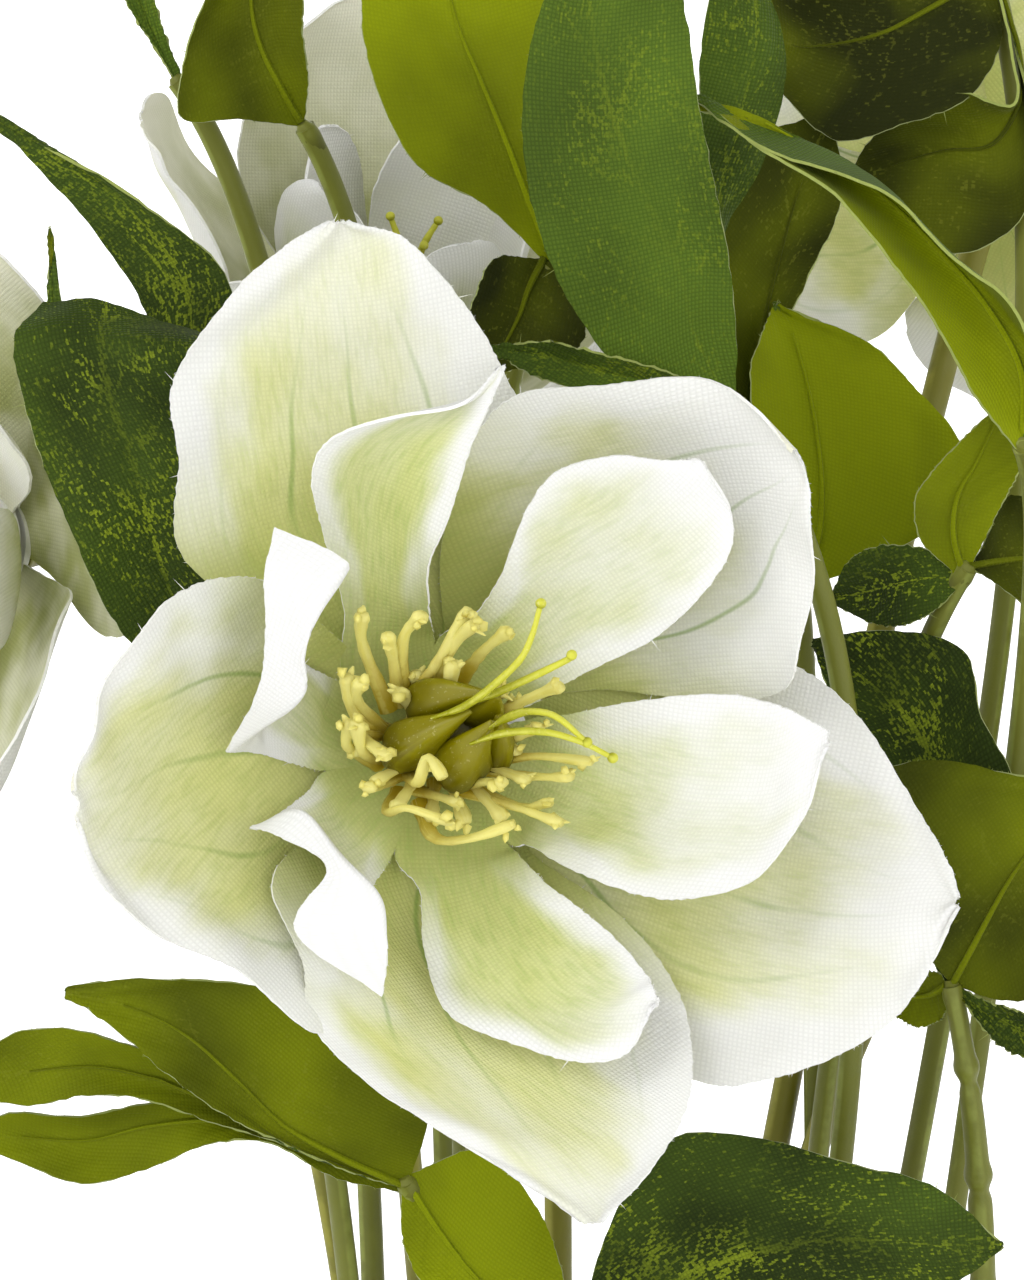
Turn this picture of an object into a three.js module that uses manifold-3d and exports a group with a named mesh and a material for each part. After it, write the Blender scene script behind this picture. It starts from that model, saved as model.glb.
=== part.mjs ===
// A potted hellebore: white double blooms and dark evergreen leaves on arching stems, set in the soil of a plain pot.
// Millimetres, +Z up. The origin is the centre of the pot's underside, and the front bloom looks along -Y.
import * as THREE from "three";
import { mergeVertices } from "three/addons/utils/BufferGeometryUtils.js";
import Module from "manifold-3d";

const wasm = await Module();
wasm.setup();

// ---- Driving dimensions -------------------------------------------------------------------------------------------

const FIT_GAP = 0.3; // between pieces that touch
const BLADE_THICKNESS = 0.6;
const LEAST_HALF_WIDTH = 0.4; // of a blade's closed end

const POT = { height: 112, topRadius: 62, footRadius: 46, wall: 3, rimHeight: 16, rimStep: 3.5, floor: 4 };
const POT_SIDES = 24;
const DRAIN = { radius: 5, ring: 27, count: 4, sides: 6 };
const SOIL = { top: 99, dome: 6, rings: 3 };
const HOLE = { depth: 18, clearance: 1.4, sides: 5, below: 2 };

// A stem stands upright for the first stretch over the soil, and its reach is how far it runs straight at its end.
const UPRIGHT = 72;
const FLOWER_STEM = { radius: 1.5, sides: 6, steps: 8, reach: 46 };
const LEAF_STEM = { radius: 1.2, sides: 5, steps: 6, reach: 40, knob: 1.9 };
const LOW_LEAF_STEM = { ...LEAF_STEM, reach: 24 };

// Heights of the layers of a bloom, along its axis from the back of the sepals.
const SEPAL_HUB = { radius: 5.5, thickness: 2.2 };
const PETAL_HUB = { radius: 6, thickness: 1.5 };
const STAMEN_HUB = { radius: 4.2, thickness: 1.2 };
const CARPEL_HUB = { radius: 2.8, thickness: 1.2 };
const PETAL_LEVEL = SEPAL_HUB.thickness + FIT_GAP;
const STAMEN_LEVEL = PETAL_LEVEL + PETAL_HUB.thickness + FIT_GAP;
const CARPEL_LEVEL = STAMEN_LEVEL + STAMEN_HUB.thickness + FIT_GAP;

// Rows and columns of the blades, the share of their width left at the root, and how their ends close: a higher
// blunt is squarer and a higher point is sharper.
const FRONT_SEPAL = { rows: 8, columns: 4, waist: 1, blunt: 4, point: 0.5 };
const FRONT_PETAL = { rows: 7, columns: 3, waist: 1, blunt: 5, point: 0.5 };
const SEPAL = { rows: 4, columns: 2, waist: 0.6, blunt: 4, point: 0.5 };
const PETAL = { rows: 3, columns: 2, waist: 0.6, blunt: 4, point: 0.5 };
const LEAF = { rows: 5, columns: 2, waist: 0.2, blunt: 2.2, point: 0.9 };
const LOW_LEAF = { ...LEAF, rows: 3 };

const COLOURS = {
  pot: 0x2b2c2d,
  soil: 0x3d2c20,
  stem: 0x7f8136,
  leaf: 0x3f5a1e,
  sepal: 0xeef0dc,
  petal: 0xf6f7ee,
  stamen: 0xe3cd62,
  carpel: 0x8a8f1c,
};

// ---- Small tools --------------------------------------------------------------------------------------------------

const { degToRad, lerp, smoothstep } = THREE.MathUtils;
const vector = (xyz) => new THREE.Vector3(...xyz);
const UP = vector([0, 0, 1]);

// A repeatable draw of numbers from 0 to 1.
function seeded(seed) {
  let state = seed;
  return () => {
    state = (state * 1103515245 + 12345) % 2147483648;
    return state / 2147483648;
  };
}

// A number drawn from -reach to reach.
const spread = (draw, reach) => (2 * draw() - 1) * reach;

// The value at t of the parabola through three values at 0, 0.5 and 1.
function along([start, middle, end], t) {
  return start * (1 - t) * (1 - 2 * t) + middle * 4 * t * (1 - t) + end * t * (2 * t - 1);
}

function solidOf(geometry) {
  const bare = geometry.clone();
  bare.deleteAttribute("normal");
  bare.deleteAttribute("uv");
  const merged = mergeVertices(bare, 1e-4);
  return new wasm.Manifold(
    new wasm.Mesh({
      numProp: 3,
      vertProperties: new Float32Array(merged.attributes.position.array),
      triVerts: new Uint32Array(merged.index.array),
    }),
  );
}

function indexed(positions, triangles) {
  const geometry = new THREE.BufferGeometry();
  geometry.setAttribute("position", new THREE.Float32BufferAttribute(positions, 3));
  geometry.setIndex(triangles);
  return geometry;
}

// One body of several solids. A sliver or a closed pocket that the joining leaves behind is dropped.
function fused(solids) {
  const bodies = wasm.Manifold.union(solids).decompose();
  return bodies.reduce((most, body) => (body.volume() > most.volume() ? body : most));
}

function named(name, solid, colour, roughness) {
  const { vertProperties, triVerts } = solid.getMesh();
  const geometry = indexed(Array.from(vertProperties), Array.from(triVerts));
  geometry.computeVertexNormals();
  const mesh = new THREE.Mesh(geometry, new THREE.MeshStandardMaterial({ color: colour, roughness, metalness: 0 }));
  mesh.name = name;
  return mesh;
}

// ---- Blades: petals and leaves ------------------------------------------------------------------------------------

// The middle line of a blade: a Bezier curve with a cross direction carried along it. At the root the blade looks
// along face, and roll turns it about the line, in degrees at the root, middle and tip.
function spineOf({ spine, face = [0, 0, 1], roll = [0, 0, 0] }) {
  const steps = 24;
  const curve = new THREE.CubicBezierCurve3(...spine.map(vector));
  const stations = [];
  let side = vector(face).cross(curve.getTangent(0)).normalize();
  for (let i = 0; i <= steps; i++) {
    const ahead = curve.getTangent(i / steps);
    side = side.clone().addScaledVector(ahead, -side.dot(ahead)).normalize();
    const turned = side.clone().applyAxisAngle(ahead, degToRad(along(roll, i / steps)));
    stations.push({ at: curve.getPoint(i / steps), side: turned, face: ahead.clone().cross(turned) });
  }
  return (t) => {
    const place = Math.min(t, 0.9999) * steps;
    const i = Math.floor(place);
    const mix = (key) => stations[i][key].clone().lerp(stations[i + 1][key], place - i);
    return { at: mix("at"), side: mix("side"), face: mix("face") };
  };
}

// The middle surface of a blade as rows of points from root to tip. Left and right are half widths at the root,
// middle and tip, and the end closes by the cut's blunt and point. Its sides bend up by the angles in curl, for the
// right and left side, each at the root, middle and tip. Fold lifts both halves from the midrib. Ripple waves the
// margins.
function bladeRows(blade, cut) {
  const { left, right = left, curl = [[0, 0, 0], [0, 0, 0]], fold = 0, ripple = 0, ripples = 2, phase = 0 } = blade;
  const spine = spineOf(blade);
  return Array.from({ length: cut.rows + 1 }, (_, i) => {
    const t = 0.995 * Math.sin((Math.PI / 2) * (i / cut.rows));
    const closing = Math.pow(1 - Math.pow(t, cut.blunt), cut.point) * lerp(cut.waist, 1, smoothstep(t, 0, 0.5));
    const { at, side, face } = spine(t);
    return Array.from({ length: cut.columns + 1 }, (_, j) => {
      const s = (2 * j) / cut.columns - 1;
      const half = Math.max(along(s < 0 ? right : left, t) * closing, LEAST_HALF_WIDTH);
      const across = s * half;
      const bend = degToRad(along(curl[s < 0 ? 0 : 1], t)) / half;
      const flat = Math.abs(bend * across) < 1e-4;
      const sideways = flat ? across : Math.sin(bend * across) / bend;
      const curled = flat ? 0 : (1 - Math.cos(bend * across)) / bend;
      const waved = ripple * s * s * Math.sin(2 * Math.PI * (ripples * t + phase) + s) * Math.sqrt(t);
      const lifted = curled + waved + Math.abs(across) * Math.tan(degToRad(fold));
      return at.clone().addScaledVector(side, sideways).addScaledVector(face, lifted);
    });
  });
}

// A closed blade of even thickness on its middle surface. Both faces are split into triangles alike.
function bladeSolid(blade, cut) {
  const grid = bladeRows(blade, cut);
  const { rows, columns } = cut;
  const positions = [];
  for (const half of [BLADE_THICKNESS / 2, -BLADE_THICKNESS / 2])
    grid.forEach((row, i) =>
      row.forEach((p, j) => {
        const forward = grid[Math.min(i + 1, rows)][j].clone().sub(grid[Math.max(i - 1, 0)][j]);
        const aside = row[Math.min(j + 1, columns)].clone().sub(row[Math.max(j - 1, 0)]);
        const normal = forward.cross(aside).normalize();
        positions.push(...p.clone().addScaledVector(normal, half).toArray());
      }),
    );
  const top = (i, j) => i * (columns + 1) + j;
  const under = (i, j) => top(i, j) + (rows + 1) * (columns + 1);
  const triangles = [];
  const quad = (a, b, c, d) => triangles.push(a, b, c, a, c, d);
  for (let i = 0; i < rows; i++) {
    for (let j = 0; j < columns; j++) {
      quad(top(i, j), top(i + 1, j), top(i + 1, j + 1), top(i, j + 1));
      triangles.push(under(i, j), under(i + 1, j + 1), under(i + 1, j));
      triangles.push(under(i, j), under(i, j + 1), under(i + 1, j + 1));
    }
    quad(top(i, 0), under(i, 0), under(i + 1, 0), top(i + 1, 0));
    quad(top(i, columns), top(i + 1, columns), under(i + 1, columns), under(i, columns));
  }
  for (let j = 0; j < columns; j++) {
    quad(top(0, j), top(0, j + 1), under(0, j + 1), under(0, j));
    quad(top(rows, j), under(rows, j), under(rows, j + 1), top(rows, j + 1));
  }
  return solidOf(indexed(positions, triangles));
}

// ---- Rods: stems, filaments and styles ----------------------------------------------------------------------------

// A closed rod through points, with a radius at each of them.
function rodSolid(points, radii, sides) {
  const positions = [];
  const triangles = [];
  const last = points.length - 1;
  let side = Math.abs(points[1].clone().sub(points[0]).normalize().x) < 0.8 ? vector([1, 0, 0]) : vector([0, 1, 0]);
  points.forEach((p, i) => {
    const ahead = points[Math.min(i + 1, last)].clone().sub(points[Math.max(i - 1, 0)]).normalize();
    side = side.clone().addScaledVector(ahead, -side.dot(ahead)).normalize();
    const up = ahead.clone().cross(side);
    for (let k = 0; k < sides; k++) {
      const angle = (2 * Math.PI * k) / sides;
      const rim = p.clone().addScaledVector(side, radii[i] * Math.cos(angle));
      positions.push(...rim.addScaledVector(up, radii[i] * Math.sin(angle)).toArray());
      if (i === last) continue;
      const [a, b] = [i * sides + k, i * sides + ((k + 1) % sides)];
      triangles.push(a, b, b + sides, a, b + sides, a + sides);
    }
  });
  for (let k = 1; k < sides - 1; k++) {
    triangles.push(0, k + 1, k);
    triangles.push(last * sides, last * sides + k, last * sides + k + 1);
  }
  return solidOf(indexed(positions, triangles));
}

// A stem from its foot in the soil to an end, which it reaches along a direction. It leaves the soil upright.
function stemSolid([x, y], end, arriving, { radius, sides, steps, reach, knob = radius }) {
  const curve = new THREE.CubicBezierCurve3(
    vector([x, y, SOIL.top - HOLE.depth + HOLE.below]),
    vector([x, y, SOIL.top + UPRIGHT]),
    end.clone().addScaledVector(arriving, -reach),
    end,
  );
  const points = Array.from({ length: steps + 1 }, (_, i) => curve.getPoint(i / steps));
  return rodSolid(points, points.map((_, i) => (i === steps ? knob : radius)), sides);
}

// ---- Blooms -------------------------------------------------------------------------------------------------------

// In a bloom's own frame +Z is the way it looks, +X is its right and +Y its top.
function disc({ radius, thickness }, sides) {
  const drum = new THREE.CylinderGeometry(radius, radius, thickness, sides);
  return solidOf(drum.rotateX(Math.PI / 2).translate(0, 0, thickness / 2));
}

const whorl = (hub, blades, cut) => fused([disc(hub, 10), ...blades.map((blade) => bladeSolid(blade, cut))]);

// The ring of stamens: curved filaments that end in a thicker anther, rooted in a small disc.
function stamens({ count, reach, out, lean, draw }) {
  const filaments = Array.from({ length: count }, (_, i) => {
    const angle = degToRad((360 / count) * i + spread(draw, 4));
    const length = reach * (0.9 + 0.2 * draw());
    const open = out * (0.8 + 0.4 * draw());
    const away = (distance, height) =>
      vector([
        Math.cos(angle) * distance + (lean[0] * height) / reach,
        Math.sin(angle) * distance + (lean[1] * height) / reach,
        height,
      ]);
    const start = STAMEN_HUB.radius * 0.8;
    const path = [
      away(start, 0.5),
      away(start + length * 0.34 * open, length * 0.62),
      away(start + length * 0.84 * open, length * 0.86),
    ];
    return rodSolid(path, [0.4, 0.42, 0.85], 3);
  });
  return fused([disc(STAMEN_HUB, 8), ...filaments]);
}

// The seed pods: plump carpels on one base, each with a curved style that ends in a small knob.
function carpels({ count, ring, tall, lean, draw }) {
  const solids = [disc(CARPEL_HUB, 6)];
  for (let i = 0; i < count; i++) {
    const angle = degToRad((360 / count) * i + 20 + spread(draw, 10));
    const bend = 1 + spread(draw, 0.25);
    const away = (distance, height) =>
      vector([
        Math.cos(angle) * distance + lean[0] * (height / tall) ** 2,
        Math.sin(angle) * distance + lean[1] * (height / tall) ** 2,
        height,
      ]);
    const pod = [away(ring * 0.5, 0.3), away(ring, tall * 0.5), away(ring * 0.9, tall)];
    solids.push(rodSolid(pod, [1, 2.1, 0.8], 5));
    const style = [away(ring * 0.9, tall * 0.9), away(3.4 * bend, tall * 1.5), away(5.4 * bend, tall * 1.95)];
    solids.push(rodSolid(style, [0.6, 0.45, 0.75], 3));
  }
  return fused(solids);
}

// The front bloom's sepals, from the top round to the left.
const FRONT_SEPALS = [
  {
    spine: [[-1, 3, 0.45], [-4, 20, 0.3], [-7.5, 37, 1], [-11, 50.5, 4]],
    left: [6, 23, 16],
    right: [5, 14, 11],
    curl: [[0, 10, 10], [0, 12, 25]],
  },
  {
    spine: [[2.5, 2, 0.45], [13, 10, 0.4], [24, 20, 8], [33.5, 27, 17]],
    left: [4, 17, 25],
    right: [4, 15, 24],
    curl: [[0, 15, 25], [0, 15, 30]],
    ripple: 0.8,
  },
  {
    spine: [[3, -1.5, 0.45], [20, -8, 0], [35, -16, 1.5], [49.5, -23, 6]],
    left: [4, 18, 24],
    right: [4, 18, 25],
    curl: [[0, 10, 15], [0, 10, 20]],
  },
  {
    spine: [[0.5, -3, 0.45], [3, -18, 0.8], [9, -35, 8], [14.5, -48, 14]],
    left: [5, 15, 19],
    right: [6, 21, 10],
    curl: [[0, 45, 10], [0, 10, 25]],
    ripple: 0.6,
  },
  {
    spine: [[-3, -0.5, 0.45], [-14, -3, 0.4], [-26, -6, 10], [-35, -8, 22]],
    left: [5, 24, 24],
    right: [4, 20, 20],
    curl: [[0, 15, 20], [0, 15, 20]],
    ripple: 0.8,
  },
];

// Its inner petals, from the top round to the left. The last two curl back over themselves.
const FRONT_PETALS = [
  {
    spine: [[-2, 4.5, 0.45], [-6.5, 15, 3], [-9.5, 22, 11], [4, 35, 14]],
    left: [3, 8, 11],
    right: [3, 8, 5],
    curl: [[0, 80, 60], [0, 30, 20]],
  },
  {
    spine: [[3, 3, 0.45], [11, 12, 4], [18, 19, 11], [25, 25, 14]],
    left: [3, 9, 11],
    right: [3, 9, 12],
    curl: [[0, 30, 40], [0, 40, 40]],
  },
  {
    spine: [[4, -1, 0.45], [15, -9, 4], [27, -9, 9], [37, -3, 12]],
    left: [3, 10, 9],
    right: [3, 10, 14],
    curl: [[0, 30, 40], [0, 40, 40]],
  },
  {
    spine: [[0, -4, 0.45], [1.5, -16, 4], [9, -27, 8], [20, -30, 11]],
    left: [3, 8, 6],
    right: [3, 9, 12],
    curl: [[0, 20, 25], [0, 20, 25]],
  },
  {
    spine: [[-4, -4, 0.45], [-11, -9, 3], [-11, -14, 22], [-9.5, -26.5, 12]],
    left: [3, 6, 4],
    right: [3, 6, 6],
    curl: [[0, 10, -10], [0, 10, -10]],
  },
  {
    spine: [[-4.5, 0.5, 0.45], [-16, -1, 3], [-21, 2, 19], [-13.5, 18.5, 14]],
    left: [3, 6, 8],
    right: [3, 6, 10],
    curl: [[0, 10, 0], [0, 10, 0]],
  },
];

// The line of a blade of a bloom of the common form, headed round at an angle and lifted towards its tip.
function commonSpine({ angle, start, length, lift, knee }) {
  const heading = vector([Math.cos(degToRad(angle)), Math.sin(degToRad(angle)), 0]);
  const at = (out, height) => heading.clone().multiplyScalar(out).add(vector([0, 0, height])).toArray();
  const [rise, run] = [Math.sin(degToRad(lift)), Math.cos(degToRad(lift))];
  const middle = 0.34 * (1 + run);
  return [at(start, 0.45), at(start + knee, 0.6), at(length * middle, length * rise * 0.45), at(length * run, length * rise)];
}

const commonSepals = (open, spin, draw) =>
  Array.from({ length: 5 }, (_, i) => ({
    spine: commonSpine({
      angle: 90 + spin - 72 * i + spread(draw, 4),
      start: 3,
      length: 44 + spread(draw, 2),
      lift: open + spread(draw, 6),
      knee: 9,
    }),
    left: [2.8, 16, 21],
    roll: [3, 9, 12],
    curl: [[0, 10, 20], [0, 10, 25]],
    ripple: 0.8,
    phase: draw(),
  }));

const commonPetals = (open, spin, draw) =>
  Array.from({ length: 5 }, (_, i) => ({
    spine: commonSpine({
      angle: 126 + spin - 72 * i + spread(draw, 5),
      start: 4,
      length: 28 + spread(draw, 2),
      lift: Math.min(open + 16, 60) + spread(draw, 5),
      knee: 5,
    }),
    left: [2.6, 7.5, 11],
    roll: [4, 12, 12],
    curl: [[0, 20, 30], [0, 20, 30]],
  }));

// Each bloom's middle, the way it looks, how far its sepals stand up from flat, how far they are turned about its
// middle, and where its stem leaves the soil.
const BLOOMS = [
  { name: "front", centre: [-11.5, -60, 285], turn: 0, tilt: 5, open: 20, foot: [-3, -13] },
  { name: "left", centre: [-60, -9, 300], turn: -45, tilt: 5, open: 28, foot: [-14, -5], seed: 3 },
  { name: "upper_left", centre: [-19, 36, 318], turn: 20, tilt: 58, open: 42, foot: [-7, 8], seed: 5 },
  {
    name: "upper_right",
    centre: [50, 24, 338],
    turn: 165,
    tilt: 20,
    open: 31,
    spin: 35,
    foot: [8, 8],
    seed: 8,
    reach: 32,
  },
  { name: "right", centre: [66, -6, 273], turn: 76, tilt: 2, open: 33, foot: [15, -2], seed: 13 },
  { name: "back", centre: [0, 62, 294], turn: 180, tilt: 10, open: 28, foot: [1, 14], seed: 21 },
];

// The frame of a bloom that looks along facing, turned from -Y towards +X and tilted up.
function bloomFrame({ centre, turn, tilt }) {
  const [a, e] = [degToRad(turn), degToRad(tilt)];
  const facing = vector([Math.sin(a) * Math.cos(e), -Math.cos(a) * Math.cos(e), Math.sin(e)]);
  const across = UP.clone().cross(facing).normalize();
  return { facing, frame: new THREE.Matrix4().makeBasis(across, facing.clone().cross(across), facing).setPosition(...centre) };
}

function bloomGroup(bloom) {
  const front = bloom.name === "front";
  const draw = seeded(bloom.seed ?? 1);
  const sepals = front
    ? whorl(SEPAL_HUB, FRONT_SEPALS, FRONT_SEPAL)
    : whorl(SEPAL_HUB, commonSepals(bloom.open, bloom.spin ?? 0, draw), SEPAL);
  const petals = front
    ? whorl(PETAL_HUB, FRONT_PETALS, FRONT_PETAL)
    : whorl(PETAL_HUB, commonPetals(bloom.open, bloom.spin ?? 0, draw), PETAL);
  const ring = front ? { count: 26, reach: 9.5, out: 1, lean: [1.4, 0] } : { count: 9, reach: 8.5, out: 0.75, lean: [0, 0] };
  const pods = front ? { count: 4, ring: 3, tall: 7, lean: [2.6, 1.6] } : { count: 3, ring: 2.7, tall: 7, lean: [0, 0] };
  const tag = `bloom_${bloom.name}`;
  const group = new THREE.Group();
  group.add(named(`${tag}_sepals`, sepals, COLOURS.sepal, 0.85));
  group.add(named(`${tag}_petals`, petals.translate([0, 0, PETAL_LEVEL]), COLOURS.petal, 0.85));
  group.add(
    named(`${tag}_stamens`, stamens({ ...ring, draw }).translate([0, 0, STAMEN_LEVEL]), COLOURS.stamen, 0.5),
    named(`${tag}_carpels`, carpels({ ...pods, draw }).translate([0, 0, CARPEL_LEVEL]), COLOURS.carpel, 0.45),
  );
  group.applyMatrix4(bloomFrame(bloom).frame);
  return group;
}

function flowerStem(bloom) {
  const { facing } = bloomFrame(bloom);
  const end = vector(bloom.centre).addScaledVector(facing, -FIT_GAP - BLADE_THICKNESS / 2);
  return stemSolid(bloom.foot, end, facing, { ...FLOWER_STEM, reach: bloom.reach ?? FLOWER_STEM.reach });
}

// ---- Leaves -------------------------------------------------------------------------------------------------------

// A spray is a leaf stem with leaflets at its end. Arriving is the stem's direction there, outwards and up if not
// given. A leaflet runs from there to its tip, with its middle bowed out by a distance along face and swung aside by
// another.
const SPRAYS = [
  {
    name: "top",
    foot: [12, -21],
    end: [18, -46, 317],
    arriving: [-0.55, -0.1, 0.8],
    reach: 58,
    leaflets: [
      { tip: [4, -44, 368], face: [0, -1, 0.1], half: 9.8, bow: 1, swing: 3 },
      { tip: [18, -29, 370], face: [0.2, -0.9, 0.1], half: 8, bow: -2, swing: 2 },
      { tip: [-8, -48, 322], face: [0, -1, 0.3], half: 3, bow: 0, swing: 0 },
    ],
  },
  {
    name: "upper_middle",
    foot: [-7, -18],
    end: [-1, -25, 330],
    leaflets: [
      { tip: [-12, -23, 369], face: [0, -1, 0.2], half: 10, bow: 1, swing: 1 },
      { tip: [-7, -30, 319], face: [0, -1, 0.3], half: 5, bow: 0, swing: 0 },
    ],
  },
  {
    name: "upper_left",
    foot: [-12, -1],
    end: [-27, -13, 345],
    leaflets: [{ tip: [-32, -13, 371], face: [0.1, -1, 0.2], half: 7, bow: 2, swing: 1 }],
  },
  {
    name: "far_upper_left",
    foot: [-19, -2],
    end: [-41, -6, 350],
    leaflets: [{ tip: [-49, -6, 371], face: [0, -1, 0.2], half: 2.4, bow: 1, swing: 0 }],
  },
  {
    name: "right_high",
    foot: [30, -12],
    end: [47, -50, 313],
    arriving: [-0.3, -1, 0.5],
    leaflets: [{ tip: [14, -42, 348], face: [0.5, 0.3, 0.8], half: 6, bow: 6, swing: 0 }],
  },
  {
    name: "right_back",
    foot: [30, 10],
    end: [26, -15, 296],
    leaflets: [
      { tip: [32, -9, 324], face: [-0.2, -1, 0.2], half: 9.5, bow: 2, swing: 0 },
      { tip: [30, -4, 347], face: [0.1, -1, 0], half: 5, bow: -3, swing: 6 },
    ],
  },
  {
    name: "right_top",
    foot: [19, -5],
    end: [46, -12, 363],
    arriving: [-0.3, 0, 0.95],
    reach: 62,
    leaflets: [
      { tip: [22, -5, 356], face: [0.1, -0.9, 0.4], half: 9, bow: 2, swing: 2 },
      { tip: [31, -5, 338], face: [0, -1, 0.2], half: 9, bow: 3, swing: 0 },
      { tip: [56, -14, 380], face: [0.2, -0.9, 0.3], half: 8, bow: 3, swing: 0 },
    ],
  },
  {
    name: "right_middle",
    foot: [24, -14],
    end: [43, -30, 299],
    leaflets: [
      { tip: [48, -24, 317], face: [-0.3, -0.9, 0.1], half: 5.5, bow: 1, swing: 0 },
      { tip: [29, -22, 295], face: [0, -0.8, 0.6], half: 4, bow: 2, swing: 0 },
      { tip: [56, -23, 299], face: [-0.1, -0.9, 0.4], half: 7, bow: 2, swing: 0 },
    ],
  },
  {
    name: "right_low",
    foot: [42, -17],
    end: [41, -38, 256],
    arriving: [-0.22, -0.1, 0.97],
    leaflets: [
      { tip: [27, -26, 291], face: [0.1, -0.9, 0.2], half: 9, bow: 1, swing: -5 },
      { tip: [56, -39, 277], face: [0, -0.9, 0.5], half: 12, bow: 3, swing: 0 },
      { tip: [35, -34, 253], face: [0, -0.9, 0.4], half: 3, bow: 0, swing: 0 },
      { tip: [53, -40, 248], face: [0, -0.6, 0.8], half: 4, bow: 2, swing: 0 },
    ],
  },
  {
    name: "left_high",
    foot: [-16, -14],
    end: [-35, -54, 289],
    arriving: [-0.3, -0.8, 0.6],
    leaflets: [
      { tip: [-47, -58, 329], face: [-0.2, -0.9, 0.1], half: 9.5, bow: 1, swing: -1 },
      { tip: [-59, -48, 347], face: [0, -0.9, 0.3], half: 3.8, bow: 1, swing: -24 },
      { tip: [-52, -50, 336], face: [0, -1, 0.1], half: 1.6, bow: 0, swing: 0 },
    ],
  },
  {
    name: "left_low",
    foot: [-9, -27],
    end: [-16, -36, 235],
    leaflets: [
      { tip: [-51, -40, 256], face: [0.1, -0.8, 0.5], half: 9, bow: 3, swing: 0 },
      { tip: [-62, -43, 246], face: [0.1, -0.8, 0.5], half: 7, bow: 3, swing: 1 },
      { tip: [-63, -43, 241], face: [0.1, -0.8, 0.5], half: 7, bow: 3, swing: 0 },
      { tip: [2, -37, 217], face: [0.1, -0.9, 0.3], half: 8, bow: 1, swing: 0 },
    ],
  },
  {
    name: "front_low",
    foot: [5, -29],
    end: [1, -46, 216],
    leaflets: [
      { tip: [46, -50, 231], face: [-0.1, -0.8, 0.6], half: 14, bow: 5, swing: 6 },
      { tip: [-10, -84, 205], face: [0, -0.5, 0.8], half: 11, bow: 6, swing: 0 },
    ],
  },
];

// The lower sprays spread all round over the pot. Turn is from -Y towards +X, in degrees.
const LOW_SPRAYS = [32, 88, 150, 208, 268, 325].map((turn, i) => {
  const draw = seeded(40 + i);
  const about = (angle, out, height) => {
    const a = degToRad(turn + angle);
    return [Math.sin(a) * out, -Math.cos(a) * out, height];
  };
  const height = 154 + 9 * (i % 2);
  return {
    name: `low_${i + 1}`,
    foot: about(spread(draw, 6), 33, 0).slice(0, 2),
    end: about(0, 46, height),
    stem: LOW_LEAF_STEM,
    cut: LOW_LEAF,
    leaflets: [-1, 0, 1].map((side) => ({
      tip: about(side * 27 + spread(draw, 3), 98 - 8 * Math.abs(side), height - 12 + spread(draw, 8)),
      face: [0, 0, 1],
      half: 12 + spread(draw, 1),
      bow: 10 + spread(draw, 2),
      swing: 0,
    })),
  };
});
SPRAYS.push(...LOW_SPRAYS);

function leafletSolid(root, { tip, face, half, bow, swing }, cut) {
  const chord = vector(tip).sub(root);
  const facing = vector(face).normalize();
  const side = facing.clone().cross(chord).normalize();
  const off = facing.clone().multiplyScalar(bow).addScaledVector(side, swing);
  const through = (share) => root.clone().addScaledVector(chord, share).add(off).toArray();
  const blade = {
    spine: [root.toArray(), through(0.33), through(0.67), tip],
    face,
    left: [half * 0.15, half * 1.25, half * 0.6],
    fold: 8,
    ripple: 0.7,
    ripples: 2.5,
    phase: (half * 0.37) % 1,
  };
  return bladeSolid(blade, cut);
}

function leafSpray({ foot, end, leaflets, arriving, reach, stem = LEAF_STEM, cut = LEAF }) {
  const root = vector(end);
  const outwards = root.clone().sub(vector([foot[0], foot[1], end[2]])).normalize();
  const heading = (arriving ? vector(arriving) : outwards.add(vector([0, 0, 1.3]))).normalize();
  return fused([
    stemSolid(foot, root, heading, { ...stem, reach: reach ?? stem.reach }),
    ...leaflets.map((leaflet) => leafletSolid(root, leaflet, cut)),
  ]);
}

// ---- Pot and soil -------------------------------------------------------------------------------------------------

const lathe = (profile) =>
  solidOf(new THREE.LatheGeometry(profile.map(([r, z]) => new THREE.Vector2(r, z)), POT_SIDES).rotateX(Math.PI / 2));

function drum(radius, height, sides, x, y, z) {
  return solidOf(new THREE.CylinderGeometry(radius, radius, height, sides).rotateX(Math.PI / 2).translate(x, y, z));
}

function potSolid() {
  const { height, topRadius, footRadius, wall, rimHeight, rimStep, floor } = POT;
  const rimFoot = height - rimHeight;
  const rimFootRadius = lerp(footRadius, topRadius, rimFoot / height);
  const shell = lathe([
    [0, 0],
    [footRadius, 0],
    [rimFootRadius, rimFoot],
    [rimFootRadius + rimStep, rimFoot],
    [topRadius + rimStep, height],
    [topRadius + rimStep - wall, height],
    [rimFootRadius + rimStep - wall, rimFoot + wall],
    [rimFootRadius - wall, rimFoot],
    [footRadius - wall, floor],
    [0, floor],
  ]);
  const drains = Array.from({ length: DRAIN.count }, (_, i) => {
    const angle = (2 * Math.PI * (i + 0.5)) / DRAIN.count;
    return drum(DRAIN.radius, 3 * floor, DRAIN.sides, Math.cos(angle) * DRAIN.ring, Math.sin(angle) * DRAIN.ring, 0);
  });
  return drains.reduce((left, drain) => left.subtract(drain), shell);
}

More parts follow.
